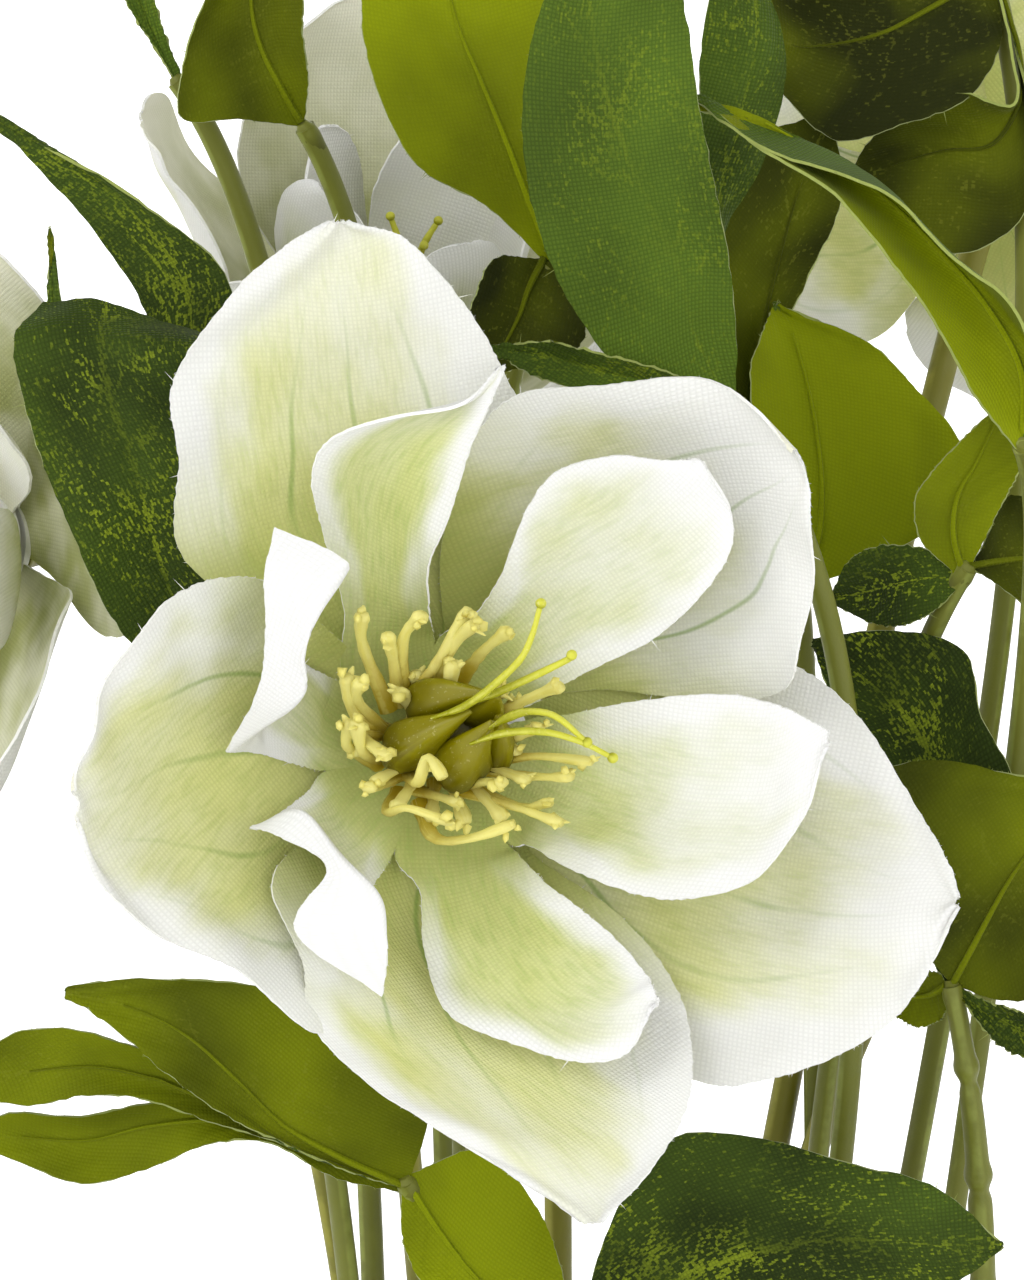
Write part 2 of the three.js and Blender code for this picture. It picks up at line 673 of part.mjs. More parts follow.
// The soil fills the pot up to a low dome, with a plain hole for each stem.
function soilSolid(feet) {
  const { height, topRadius, footRadius, wall, floor } = POT;
  const radiusAt = (z) => lerp(footRadius, topRadius, z / height) - wall - FIT_GAP * 2;
  const shoulder = SOIL.top - SOIL.dome;
  const domed = Array.from({ length: SOIL.rings }, (_, i) => {
    const share = 1 - i / SOIL.rings;
    return [radiusAt(shoulder) * share, SOIL.top - SOIL.dome * share * share];
  });
  const fill = lathe([[0, floor + FIT_GAP], [radiusAt(floor), floor + FIT_GAP], ...domed, [0, SOIL.top]]);
  const holes = feet.map(([x, y, radius]) => drum(radius + HOLE.clearance, 2 * HOLE.depth, HOLE.sides, x, y, SOIL.top));
  return holes.reduce((left, hole) => left.subtract(hole), fill);
}

// ---- The plant ----------------------------------------------------------------------------------------------------

const feet = [
  ...BLOOMS.map(({ foot }) => [...foot, FLOWER_STEM.radius]),
  ...SPRAYS.map(({ foot }) => [...foot, LEAF_STEM.radius]),
];

const plant = new THREE.Group();
plant.add(named("pot", potSolid(), COLOURS.pot, 0.6), named("soil", soilSolid(feet), COLOURS.soil, 1));
BLOOMS.forEach((bloom) => {
  plant.add(bloomGroup(bloom));
  plant.add(named(`flower_stem_${bloom.name}`, flowerStem(bloom), COLOURS.stem, 0.55));
});
SPRAYS.forEach((spray) => plant.add(named(`leaves_${spray.name}`, leafSpray(spray), COLOURS.leaf, 0.8)));

export default plant;
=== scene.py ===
"""Dresses the potted hellebore: woven cloth petals and leaves on moulded stems, in a plain pot of soil.

Shapes are worked out in millimetres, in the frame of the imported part, and turned to metres as a mesh is made.
"""

import math

import bpy
import numpy as np
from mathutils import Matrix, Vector


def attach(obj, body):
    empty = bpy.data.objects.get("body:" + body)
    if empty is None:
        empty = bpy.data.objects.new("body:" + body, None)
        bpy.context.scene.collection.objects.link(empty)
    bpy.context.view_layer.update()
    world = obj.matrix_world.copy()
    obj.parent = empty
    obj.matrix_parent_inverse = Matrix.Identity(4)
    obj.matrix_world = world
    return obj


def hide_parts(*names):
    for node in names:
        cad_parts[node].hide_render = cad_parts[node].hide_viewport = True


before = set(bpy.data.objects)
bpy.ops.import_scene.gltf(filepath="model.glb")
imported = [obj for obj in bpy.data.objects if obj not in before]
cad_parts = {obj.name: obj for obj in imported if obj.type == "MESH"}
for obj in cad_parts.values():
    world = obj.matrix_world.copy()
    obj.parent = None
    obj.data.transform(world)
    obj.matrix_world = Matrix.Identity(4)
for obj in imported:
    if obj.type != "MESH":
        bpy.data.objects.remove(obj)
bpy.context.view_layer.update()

bl_info = {
    "name": "Potted Hellebore",
    "version": (1, 0, 0),
    "blender": (4, 5, 0),
    "location": "View3D > Sidebar > Hellebore",
    "description": "Builds a hellebore with cloth petals and leaves on moulded stems, in its pot",
    "category": "Add Mesh",
}

MM = 0.001
FACE, BACK, EDGE, STEM = 0, 1, 2, 3  # the material places of a leaf spray, the first three those of any sheet

# ---- Numbers -------------------------------------------------------------------------------------


def linear(hexcode):
    """Turn an sRGB hex colour to linear red, green, blue and alpha."""
    parts = [int(hexcode[i : i + 2], 16) / 255 for i in (0, 2, 4)]
    return (*[c / 12.92 if c <= 0.04045 else ((c + 0.055) / 1.055) ** 2.4 for c in parts], 1.0)


def seeded(seed):
    """Give a repeatable draw of numbers from 0 to 1, the same one that the part's source uses."""
    state = float(seed)

    def draw():
        nonlocal state
        state = math.fmod(state * 1103515245.0 + 12345.0, 2147483648.0)
        return state / 2147483648.0

    return draw


def spread(draw, reach):
    """Draw a number from -reach to reach."""
    return (2 * draw() - 1) * reach


def along(three, t):
    """Give the value at t of the parabola through three values at 0, 0.5 and 1."""
    start, middle, end = three
    return start * (1 - t) * (1 - 2 * t) + middle * 4 * t * (1 - t) + end * t * (2 * t - 1)


def ease(value, low, high):
    """Rise smoothly from 0 at low to 1 at high."""
    share = np.clip((value - low) / (high - low), 0, 1)
    return share * share * (3 - 2 * share)


def unit(vectors):
    """Scale vectors to length 1."""
    vectors = np.asarray(vectors, float)
    return vectors / np.maximum(np.linalg.norm(vectors, axis=-1, keepdims=True), 1e-9)


def through(points, places):
    """Follow a smooth line through points, at places from 0 to 1."""
    knots = np.asarray(points, float)
    knots = np.concatenate([2 * knots[:1] - knots[1:2], knots, 2 * knots[-1:] - knots[-2:-1]])
    place = np.clip(np.asarray(places, float), 0, 1) * (len(knots) - 3)
    i = np.minimum(place.astype(int), len(knots) - 4)
    f = (place - i).reshape((-1,) + (1,) * (knots.ndim - 1))
    a, b, c, d = knots[i], knots[i + 1], knots[i + 2], knots[i + 3]
    return 0.5 * (2 * b + (c - a) * f + (2 * a - 5 * b + 4 * c - d) * f**2 + (3 * b - a - 3 * c + d) * f**3)


def lengths(points):
    """Measure how far each point lies along a line of points."""
    steps = np.linalg.norm(np.diff(points, axis=0), axis=-1)
    return np.concatenate([np.zeros((1,) + steps.shape[1:]), np.cumsum(steps, axis=0)])


def waves(across, lengthwise, size, draw, count=5):
    """Add up soft random waves over a sheet, about one unit high, with crests about size apart."""
    total = np.zeros_like(across)
    for _ in range(count):
        heading = draw.uniform(0, math.pi)
        pitch = size * draw.uniform(0.7, 1.6)
        phase = draw.uniform(0, 2 * math.pi)
        run = across * math.cos(heading) + lengthwise * math.sin(heading)
        total += np.sin(2 * math.pi * run / pitch + phase)
    return total / count**0.5


# ---- Meshes --------------------------------------------------------------------------------------


class Skin:
    """Gathers closed surfaces into the mesh of one piece."""

    def __init__(self):
        self.points, self.faces, self.places, self.cloth, self.print, self.tone = [], [], [], [], [], []
        self.count = 0

    def add(self, points, faces, place, cloth=None, printed=None, tone=0.5):
        """Add points and the faces between them. Place is a material's place, or one for each face."""
        blank = np.zeros((len(points), 2))
        self.points.append(np.asarray(points, float))
        self.faces += [[v + self.count for v in face] for face in faces]
        self.places.append(np.full(len(faces), place) if np.isscalar(place) else np.asarray(place))
        self.cloth.append(blank if cloth is None else cloth)
        self.print.append(blank if printed is None else printed)
        self.tone.append(np.full(len(points), float(tone)))
        self.count += len(points)

    def build(self, name, materials, nodes, crease=50):
        """Make the piece, seat it on the plant's body and let it stand for its nodes."""
        mesh = bpy.data.meshes.new(name)
        mesh.from_pydata((np.concatenate(self.points) * MM).tolist(), [], self.faces)
        corners = np.empty(len(mesh.loops), int)
        mesh.loops.foreach_get("vertex_index", corners)
        for title, values in (("Cloth", self.cloth), ("Print", self.print)):
            layer = mesh.uv_layers.new(name=title)
            layer.data.foreach_set("uv", np.concatenate(values)[corners].ravel().astype(np.float32))
        layer = mesh.attributes.new("tone", "FLOAT", "POINT")
        layer.data.foreach_set("value", np.concatenate(self.tone).astype(np.float32))
        for material in materials:
            mesh.materials.append(material)
        mesh.polygons.foreach_set("material_index", np.concatenate(self.places).astype(np.int32))
        mesh.polygons.foreach_set("use_smooth", np.ones(len(mesh.polygons), bool))
        mesh.set_sharp_from_angle(angle=math.radians(crease))
        mesh.update()
        return seat(bpy.data.objects.new(name, mesh), nodes)


def seat(piece, nodes):
    """Link a piece, and tell the frame what it rides on and which nodes it stands for."""
    bpy.context.scene.collection.objects.link(piece)
    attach(piece, "root")
    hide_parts(*nodes)
    return piece


def quads(rows, columns, wrap=False, first=0):
    """Number the corners of the squares between rows and columns of points."""
    i, j = np.meshgrid(np.arange(rows - 1), np.arange(columns if wrap else columns - 1), indexing="ij")
    a = (i * columns + j).ravel()
    b = (i * columns + (j + 1) % columns).ravel()
    return (np.stack([a, b, b + columns, a + columns], axis=1) + first).tolist()


def normals(grid):
    """Give the way a sheet of points faces, for rows from root to tip and columns from left to right."""
    return unit(np.cross(np.gradient(grid, axis=1), np.gradient(grid, axis=0)))


def lay_sheet(skin, grid, thickness, draw, tone=0.5, turn=0.0, ragged=0.0, fringe=0, thread=0.06):
    """Close rows and columns of points into a sheet of cloth. Turn is the angle between weave and middle
    line, ragged how far the cut margin strays, and fringe how many loose thread ends stick out of it."""
    rows, columns = grid.shape[:2]
    if ragged:
        grid = grid.copy()
        for j, inner in ((0, 1), (-1, -2)):
            out = unit(grid[:, j] - grid[:, inner])
            grid[:, j] += out * draw.uniform(-ragged, ragged, (rows, 1))
        grid[-1] += unit(grid[-1] - grid[-2]) * draw.uniform(-ragged, ragged, (columns, 1))
    facing = normals(grid)
    middle = columns // 2
    over = lengths(grid.transpose(1, 0, 2)).T
    over -= over[:, middle : middle + 1]
    down = np.repeat(lengths(grid[:, middle])[:, None], columns, axis=1)
    c, s = math.cos(turn), math.sin(turn)
    shift = draw.uniform(0, 80, 2)
    cloth = np.stack([c * over + s * down + shift[0], c * down - s * over + shift[1]], axis=-1)
    t, side = np.meshgrid(np.linspace(0, 1, rows), np.linspace(0, 1, columns), indexing="ij")
    printed = np.stack([side, t], axis=-1)
    count = rows * columns
    top = quads(rows, columns)
    rim_ids = np.concatenate(
        [
            np.arange(columns),
            np.arange(1, rows) * columns + columns - 1,
            (rows - 1) * columns + np.arange(columns - 2, -1, -1),
            np.arange(rows - 2, 0, -1) * columns,
        ]
    )
    after = np.roll(rim_ids, -1)
    rim = np.stack([rim_ids + count, after + count, after, rim_ids], axis=1).tolist()
    under = [[corner + count for corner in reversed(face)] for face in top]
    lift = facing * thickness / 2
    points = np.concatenate([(grid + lift).reshape(-1, 3), (grid - lift).reshape(-1, 3)])
    places = [FACE] * len(top) + [BACK] * len(top) + [EDGE] * len(rim)
    cloth, printed = (np.tile(layer.reshape(-1, 2), (2, 1)) for layer in (cloth, printed))
    skin.add(points, top + under + rim, places, cloth, printed, tone)
    if not fringe:
        return
    edge = grid.reshape(-1, 3)[rim_ids[columns - 1 :]]
    inner = 0.9 * edge + 0.1 * grid[rows // 2, middle]
    aside = unit(np.roll(edge, -1, axis=0) - np.roll(edge, 1, axis=0))
    flat = facing.reshape(-1, 3)[rim_ids[columns - 1 :]]
    outward = unit(np.cross(aside, flat))
    outward *= np.sign(np.sum(outward * (edge - inner), axis=1, keepdims=True))
    for k in draw.integers(0, len(edge), fringe):
        reach = draw.uniform(0.1, 0.3) if draw.random() < 0.96 else draw.uniform(0.6, 1.6)
        strayed = aside[k] * draw.uniform(-0.6, 0.6) + flat[k] * draw.uniform(-0.3, 0.3)
        tip = edge[k] + outward[k] * reach + strayed * reach
        foot = edge[k] + aside[k] * draw.uniform(-0.4, 0.4) - outward[k] * 0.1
        back = foot - aside[k] * thread * 0.5
        corners = [foot + aside[k] * thread, back + flat[k] * thread, back - flat[k] * thread, tip]
        skin.add(corners, [[0, 2, 1], [0, 1, 3], [1, 2, 3], [2, 0, 3]], EDGE, tone=tone)


def ring_frames(path):
    """Carry two cross directions along a line without twisting it."""
    ahead = unit(np.gradient(path, axis=0))
    side = np.array([1.0, 0, 0]) if abs(ahead[0][0]) < 0.8 else np.array([0, 1.0, 0])
    sides = []
    for heading in ahead:
        side = unit(side - heading * np.dot(side, heading))
        sides.append(side)
    sides = np.array(sides)
    return sides, np.cross(ahead, sides)


def lay_tube(skin, path, radii, sides, place=0, flatten=1.0, twist=0.0, ridge=(0, 0.0), tone=0.5):
    """Close a tube round a line, with a radius at each point. Flatten squashes it to a strap, and ridge is
    how many ridges run along it and how far they stand up, as a share of the radius."""
    path = np.asarray(path, float)
    radii = np.broadcast_to(np.asarray(radii, float), (len(path),))
    side, up = ring_frames(path)
    angle = np.linspace(0, 2 * math.pi, sides, endpoint=False)[None, :] + twist
    swell = 1 + ridge[1] * np.cos(ridge[0] * (angle - twist))
    reach = radii[:, None] * swell
    ring = path[:, None] + side[:, None] * (reach * np.cos(angle))[..., None]
    ring = ring + up[:, None] * (reach * np.sin(angle) * flatten)[..., None]
    far = lengths(path)
    around, lengthwise = (angle - twist) / (2 * math.pi), (far / far[-1])[:, None]
    printed = np.stack(np.broadcast_arrays(around, lengthwise), axis=-1)
    cloth = np.stack(np.broadcast_arrays(angle * radii.mean(), far[:, None]), axis=-1)
    count = len(path)
    faces = quads(count, sides, wrap=True)
    faces += [list(range(sides))[::-1], list(range((count - 1) * sides, count * sides))]
    skin.add(ring.reshape(-1, 3), faces, place, cloth.reshape(-1, 2), printed.reshape(-1, 2), tone)


GOLDEN = (1 + 5**0.5) / 2
BALL = unit(
    [
        [-1, GOLDEN, 0], [1, GOLDEN, 0], [-1, -GOLDEN, 0], [1, -GOLDEN, 0],
        [0, -1, GOLDEN], [0, 1, GOLDEN], [0, -1, -GOLDEN], [0, 1, -GOLDEN],
        [GOLDEN, 0, -1], [GOLDEN, 0, 1], [-GOLDEN, 0, -1], [-GOLDEN, 0, 1],
    ]
)
BALL_FACES = [
    [0, 11, 5], [0, 5, 1], [0, 1, 7], [0, 7, 10], [0, 10, 11],
    [1, 5, 9], [5, 11, 4], [11, 10, 2], [10, 7, 6], [7, 1, 8],
    [3, 9, 4], [3, 4, 2], [3, 2, 6], [3, 6, 8], [3, 8, 9],
    [4, 9, 5], [2, 4, 11], [6, 2, 10], [8, 6, 7], [9, 8, 1],
]


def lay_lump(skin, at, radius, draw, rough, tone=0.5):
    """Add a small uneven lump."""
    points = BALL * draw.uniform(1 - rough, 1 + rough, (12, 1)) * radius * draw.uniform(0.8, 1.2, 3) + at
    skin.add(points, BALL_FACES, 0, points[:, :2], np.full((12, 2), 0.98), tone)


# ---- Materials -----------------------------------------------------------------------------------

# Settings that many nodes share.
TIMES = {"operation": "MULTIPLY"}
TIMES_PLUS = {"operation": "MULTIPLY_ADD"}
HIGHER = {"operation": "MAXIMUM"}
SMOOTH = {"interpolation_type": "SMOOTHSTEP"}
COLOURS = {"data_type": "RGBA"}
IN_SHEET = {"noise_dimensions": "2D"}
IN_SPACE = {"noise_dimensions": "3D"}


def add(tree, kind, inputs=(), out=0, **settings):
    """Add a node with its settings, and its inputs by order or name. An input is a value or another node's
    output."""
    node = tree.nodes.new("ShaderNode" + kind)
    for key, value in settings.items():
        setattr(node, key, value)
    pairs = inputs.items() if isinstance(inputs, dict) else enumerate(inputs)
    sockets = [s for s in node.inputs if s.enabled]
    for key, value in pairs:
        socket = node.inputs[key] if isinstance(key, str) else sockets[key]
        if isinstance(value, bpy.types.NodeSocket):
            tree.links.new(value, socket)
        elif value is not None:
            socket.default_value = value
    outputs = [s for s in node.outputs if s.enabled]
    return outputs[out] if outputs else node


def fresh(name):
    """Start a material with an empty tree."""
    material = bpy.data.materials.new(name)
    material.use_nodes = True
    material.node_tree.nodes.clear()
    return material, material.node_tree


def blade_place(tree):
    """Give where a spot is on a blade: from side to side, from the middle line out, and from root to tip."""
    parts = add(tree, "SeparateXYZ", [add(tree, "UVMap", uv_map="Print")]).node.outputs
    signed = add(tree, "Math", [parts["X"], 2.0, -1.0], **TIMES_PLUS)
    return parts["X"], add(tree, "Math", [signed], operation="ABSOLUTE"), parts["Y"]


def weave(tree, pitch):
    """Plain weave: threads a pitch apart that pass over and under each other. Its height is from 0 to 1."""
    turns = (math.pi / pitch, math.pi / pitch, 0)
    turned = add(tree, "VectorMath", [add(tree, "UVMap", uv_map="Cloth"), turns], **TIMES)
    parts = add(tree, "SeparateXYZ", [turned]).node.outputs
    warp = add(tree, "Math", [parts["X"]], operation="SINE")
    weft = add(tree, "Math", [parts["Y"]], operation="SINE")
    crossing = add(tree, "Math", [warp, weft], **TIMES)
    raised = add(tree, "Math", [crossing], operation="ABSOLUTE")
    return add(tree, "Math", [crossing, 0.15, raised], **TIMES_PLUS)


def patches(tree, size, stretch=1.0, detail=2.0):
    """Cloudy patches about size across in millimetres, stretched along the blade."""
    scale = (1 / size, 1 / (size * stretch), 0)
    scaled = add(tree, "VectorMath", [add(tree, "UVMap", uv_map="Cloth"), scale], **TIMES)
    return add(tree, "TexNoise", [scaled, 1.0, detail, 0.55], **IN_SHEET)


def line_at_whole(tree, value, width, soft):
    """Draw a soft line wherever a value passes a whole number."""
    off = add(tree, "Math", [value, 0.5], operation="PINGPONG")
    return add(tree, "MapRange", [off, width, width + soft, 1.0, 0.0], **SMOOTH)


def lay_over(tree, under, over, *shares):
    """Lay one colour over another, as strongly as all the shares multiplied."""
    share = shares[0]
    for more in shares[1:]:
        share = add(tree, "Math", [share, more], **TIMES)
    return add(tree, "Mix", [share, under, over], **COLOURS)


def finish_cloth(tree, colour, height, dark, roughness, glow, glow_share, depth, sheen=0.08):
    """Woven polyester, stiffened: matt, a little sheen, and light that comes through it. Dark is how light
    the gaps between threads stay: painted shade, the colour darkened where the threads dip."""
    # Painted shade: the colour is scaled down in the gaps between threads, to dark where the weave is lowest.
    shade = add(tree, "MapRange", [height, 0.0, 0.9, dark, 1.0], **SMOOTH)
    gap_shaded_colour = add(tree, "VectorMath", {0: colour, "Scale": shade}, operation="SCALE")
    bump = add(tree, "Bump", {"Strength": depth, "Distance": 0.0002, "Height": height})
    surface = {"Base Color": gap_shaded_colour, "Roughness": roughness, "IOR": 1.5, "Specular IOR Level": 2.5 * sheen}
    body = add(tree, "BsdfPrincipled", {**surface, "Sheen Weight": sheen, "Normal": bump})
    lit = add(tree, "VectorMath", [gap_shaded_colour, glow], **TIMES)
    through_it = add(tree, "BsdfTranslucent", [lit, bump])
    add(tree, "OutputMaterial", [add(tree, "MixShader", [glow_share, body, through_it])])


def petal_cloth(name, pale, wash, deep, streak, vein, pitch):
    """Polyester satin, woven, and printed on its face: white margins, a throat washed with watery olive
    green, streaks that run with the thread and a fan of faint veins. Tone is how far the wash reaches."""
    material, tree = fresh(name)
    side, out, t = blade_place(tree)
    height = weave(tree, pitch)
    tone = add(tree, "Attribute", attribute_name="tone", out=2)
    cloud = patches(tree, 10.0, 1.6)
    uneven = add(tree, "Math", [cloud, 0.6, add(tree, "Math", [t, 0.1], operation="ADD")], **TIMES_PLUS)
    outer = add(tree, "Math", [cloud, 0.6, out], **TIMES_PLUS)
    margin = add(tree, "MapRange", [outer, 0.75, 1.2, 1.0, 0.03], **SMOOTH)
    root = add(tree, "MapRange", [t, 0.15, 0.5, 1.0, 0.0], **SMOOTH)
    margin = add(tree, "Math", [margin, root], **HIGHER)
    near = add(tree, "Math", [tone, 0.5, 0.35], **TIMES_PLUS)
    far = add(tree, "Math", [tone, 0.78], operation="ADD")
    fade = add(tree, "MapRange", [uneven, near, far, 1.0, 0.0], **SMOOTH)
    washed = add(tree, "Math", [fade, margin], **TIMES)
    colour = lay_over(tree, linear(pale), linear(wash), washed)
    brink = add(tree, "Math", [tone, 0.5, 0.52], **TIMES_PLUS)
    throat = add(tree, "MapRange", [uneven, 0.42, brink, 1.0, 0.0], **SMOOTH)
    colour = lay_over(tree, colour, linear(deep), throat, 0.9)
    grain = patches(tree, 0.6, 5.0, 3.0)
    drawn = add(tree, "MapRange", [grain, 0.42, 0.72, 0.0, 0.42], **SMOOTH)
    inked = add(tree, "MapRange", [height, 0.0, 0.8, 0.45, 1.0], **SMOOTH)
    colour = lay_over(tree, colour, linear(streak), drawn, washed, inked)
    if vein:
        bent = add(tree, "Math", [patches(tree, 14.0, 2.5), 0.55], **TIMES)
        fan = line_at_whole(tree, add(tree, "Math", [side, 5.0, bent], **TIMES_PLUS), 0.005, 0.055)
        run = add(tree, "MapRange", [t, 0.3, 0.85, 0.65, 0.0], **SMOOTH)
        inner = add(tree, "MapRange", [out, 0.5, 0.85, 1.0, 0.0], **SMOOTH)
        broken = add(tree, "MapRange", [cloud, 0.35, 0.6, 0.25, 1.0], **SMOOTH)
        colour = lay_over(tree, colour, linear(vein), fan, run, inner, broken)
    # 0.92 is the painted shade left in the gaps between threads.
    finish_cloth(tree, colour, height, 0.92, 0.8, (1.0, 1.0, 0.98), 0.25, 0.25)
    return material


def cloth_back(name, plain, shown, pitch):
    """The unprinted back of the cloth: whitish thread, with what is printed on the face just showing."""
    material, tree = fresh(name)
    height = weave(tree, pitch)
    t = blade_place(tree)[2]
    through_it = add(tree, "MapRange", [t, 0.05, 0.95, 1.0, 0.0], **SMOOTH)
    uneven = add(tree, "MapRange", [patches(tree, 8.0), 0.25, 0.7, 0.4, 1.0], **SMOOTH)
    colour = lay_over(tree, linear(plain), linear(shown), through_it, uneven)
    # 0.92 is the painted shade left in the gaps between threads.
    finish_cloth(tree, colour, height, 0.92, 0.8, (1.0, 0.99, 0.9), 0.25, 0.25)
    return material


def leaf_cloth(name, dark, light, vein, pitch, inked, speckled, shade, glow, glow_share):
    """Polyester, woven plain, and printed green with lighter veins: a middle line and side veins that sweep
    forward. The ink skips between threads, so the veins break into dashes as short as a few threads, and
    more such dashes lie scattered between them. Inked is how strong they are, speckled how dense the
    scattered ones are, and tone how light the leaf is, partly its own green and partly painted light and
    shade. Shade is how light the gaps between threads stay, painted shade in the weave."""
    material, tree = fresh(name)
    out, t = blade_place(tree)[1:]
    height = weave(tree, pitch)
    place = add(tree, "UVMap", uv_map="Cloth")
    tone = add(tree, "Attribute", attribute_name="tone", out=2)
    cloud = patches(tree, 9.0, 1.5)
    # Painted light and shade in part: each leaflet's tone lifts or lowers its whole green, lower for leaflets
    # in shade.
    raised = add(tree, "Math", [tone, -0.65], operation="ADD")
    lightness = add(tree, "Math", [patches(tree, 16.0, 1.4), 1.3, raised], use_clamp=True, **TIMES_PLUS)
    colour = lay_over(tree, dark, light, lightness)
    bent = add(tree, "Math", [patches(tree, 11.0), 1.6], **TIMES)
    along_it = add(tree, "Math", [t, 7.0, bent], **TIMES_PLUS)
    swept = add(tree, "Math", [out, -1.5, along_it], **TIMES_PLUS)
    lateral = line_at_whole(tree, swept, 0.0, 0.1)
    reach = add(tree, "MapRange", [out, 0.2, 1.0, 0.32, 0.03], **SMOOTH)
    lateral = add(tree, "Math", [lateral, reach], **TIMES)
    rib = add(tree, "MapRange", [out, 0.0, 0.06, 0.45, 0.0], **SMOOTH)
    near_rib = add(tree, "MapRange", [out, 0.05, 0.5, 0.08, 0.0], **SMOOTH)
    scattered = add(tree, "MapRange", [cloud, 0.35, 0.75, 0.0, 0.35], **SMOOTH)
    scattered = add(tree, "Math", [scattered, speckled, near_rib], **TIMES_PLUS)
    density = add(tree, "Math", [add(tree, "Math", [lateral, rib], **HIGHER), scattered], operation="ADD")
    threads = add(tree, "VectorMath", [place, (pitch * 0.55, pitch * 0.9, 1)], operation="SNAP")
    skips = add(tree, "TexWhiteNoise", [threads], **IN_SHEET)
    short = patches(tree, pitch * 1.1, 1.6, 1.0)
    skips = add(tree, "Math", [add(tree, "Math", [skips, 0.7], **TIMES), short], operation="ADD")
    gap = add(tree, "Math", [skips, density], operation="SUBTRACT")
    drawn = add(tree, "MapRange", [gap, 0.32, 0.54, 1.0, 0.0], **SMOOTH)
    strength = add(tree, "Math", [tone, -0.8 * inked, inked], **TIMES_PLUS)
    worn = add(tree, "MapRange", [patches(tree, 7.0, 1.5), 0.35, 0.65, 0.25, 1.0], **SMOOTH)
    colour = lay_over(tree, colour, vein, drawn, strength, worn)
    # Shade goes on as the painted shade in the gaps between threads.
    finish_cloth(tree, colour, height, shade, 0.6, glow, glow_share, 0.9 - 0.7 * shade, 0.04)
    return material


def cut_edge(name, colour):
    """The cut margin: thread ends with no print on them, so a thin pale line."""
    material, tree = fresh(name)
    fuzz = add(tree, "TexNoise", [add(tree, "TexCoord", out=3), 1500.0, 2.0], **IN_SPACE)
    shaded = (*[c * 0.75 for c in linear(colour)[:3]], 1.0)
    shade = lay_over(tree, linear(colour), shaded, fuzz)
    body = add(tree, "BsdfPrincipled", {"Base Color": shade, "Roughness": 0.9, "Sheen Weight": 0.2})
    add(tree, "OutputMaterial", [body])
    return material


def moulded(name, low, high, ridge, roughness, glow_share=0.0, fleck=0.0, depth=0.25, size=2.5):
    """Soft moulded plastic: satin, clouded by the pigment, with a painted highlight in two bands along it, on
    the ridges where a stem has them, and with a few crumbs of flash. Low is its colour at the foot of a piece
    and high at its end, and ridge the colour of the painted highlight."""
    material, tree = fresh(name)
    parts = add(tree, "SeparateXYZ", [add(tree, "UVMap", uv_map="Print")]).node.outputs
    spot = add(tree, "TexCoord", out=3)
    cloud = add(tree, "TexNoise", [spot, 1000.0 / size, 3.0, 0.6], **IN_SPACE)
    uneven = add(tree, "Math", [cloud, 0.5, parts["Y"]], **TIMES_PLUS)
    fade = add(tree, "MapRange", [uneven, 0.25, 1.0, 0.0, 1.0], **SMOOTH)
    colour = lay_over(tree, linear(low), linear(high), fade)
    # Painted highlight: two pale bands run along the piece, over a stem's two ridges, broken up by the cloud.
    ridge_highlight = add(tree, "Math", [add(tree, "Math", [parts["X"], 4 * math.pi], **TIMES)], operation="COSINE")
    ridge_highlight = add(tree, "MapRange", [ridge_highlight, 0.55, 0.95, 0.0, 0.7], **SMOOTH)
    worn = add(tree, "MapRange", [cloud, 0.35, 0.6, 0.2, 1.0], **SMOOTH)
    colour = lay_over(tree, colour, linear(ridge), ridge_highlight, worn)
    specks = add(tree, "TexNoise", [spot, 1000.0 / 0.35, 1.0, 0.5], **IN_SPACE)
    flash = add(tree, "MapRange", [specks, 0.66, 0.72, 0.0, fleck], **SMOOTH)
    colour = lay_over(tree, colour, linear("f4efc4"), flash)
    height = add(tree, "Math", [specks, 0.3, cloud], **TIMES_PLUS)
    bump = add(tree, "Bump", {"Strength": depth, "Distance": 0.0003, "Height": height})
    polish = add(tree, "MapRange", [cloud, 0.3, 0.7, roughness - 0.08, roughness + 0.08], **SMOOTH)
    surface = {"Base Color": colour, "Roughness": polish, "IOR": 1.5, "Specular IOR Level": 0.3}
    body = add(tree, "BsdfPrincipled", {**surface, "Normal": bump})
    if glow_share:
        through_it = add(tree, "BsdfTranslucent", [colour, bump])
        body = add(tree, "MixShader", [glow_share, body, through_it])
    add(tree, "OutputMaterial", [body])
    return material


def pot_plastic(name, colour, worn):
    """Polypropylene, injection moulded: dark grey and satin, with the fine grain of a spark-eroded mould, and
    paler rubbed patches round the rim and foot."""
    material, tree = fresh(name)
    spot = add(tree, "TexCoord", out=3)
    level = add(tree, "SeparateXYZ", [spot]).node.outputs["Z"]
    cloud = add(tree, "TexNoise", [spot, 45.0, 4.0, 0.6], **IN_SPACE)
    grain = add(tree, "TexNoise", [spot, 1000.0 / 0.8, 2.0, 0.5], **IN_SPACE)
    foot = add(tree, "MapRange", [level, 0.0, 0.012, 1.0, 0.0], **SMOOTH)
    rim = add(tree, "MapRange", [level, 0.104, 0.112, 0.0, 1.0], **SMOOTH)
    ends = add(tree, "Math", [add(tree, "Math", [foot, rim], **HIGHER), 0.55, 0.2], **TIMES_PLUS)
    rubbed = add(tree, "MapRange", [cloud, 0.4, 0.75, 0.0, 1.0], **SMOOTH)
    shade = lay_over(tree, colour, linear(worn), rubbed, ends)
    bump = add(tree, "Bump", {"Strength": 0.25, "Distance": 0.0002, "Height": grain})
    polish = add(tree, "MapRange", [cloud, 0.3, 0.7, 0.4, 0.55], **SMOOTH)
    surface = {"Base Color": shade, "Roughness": polish, "IOR": 1.49, "Normal": bump}
    body = add(tree, "BsdfPrincipled", surface)
    add(tree, "OutputMaterial", [body])
    return material


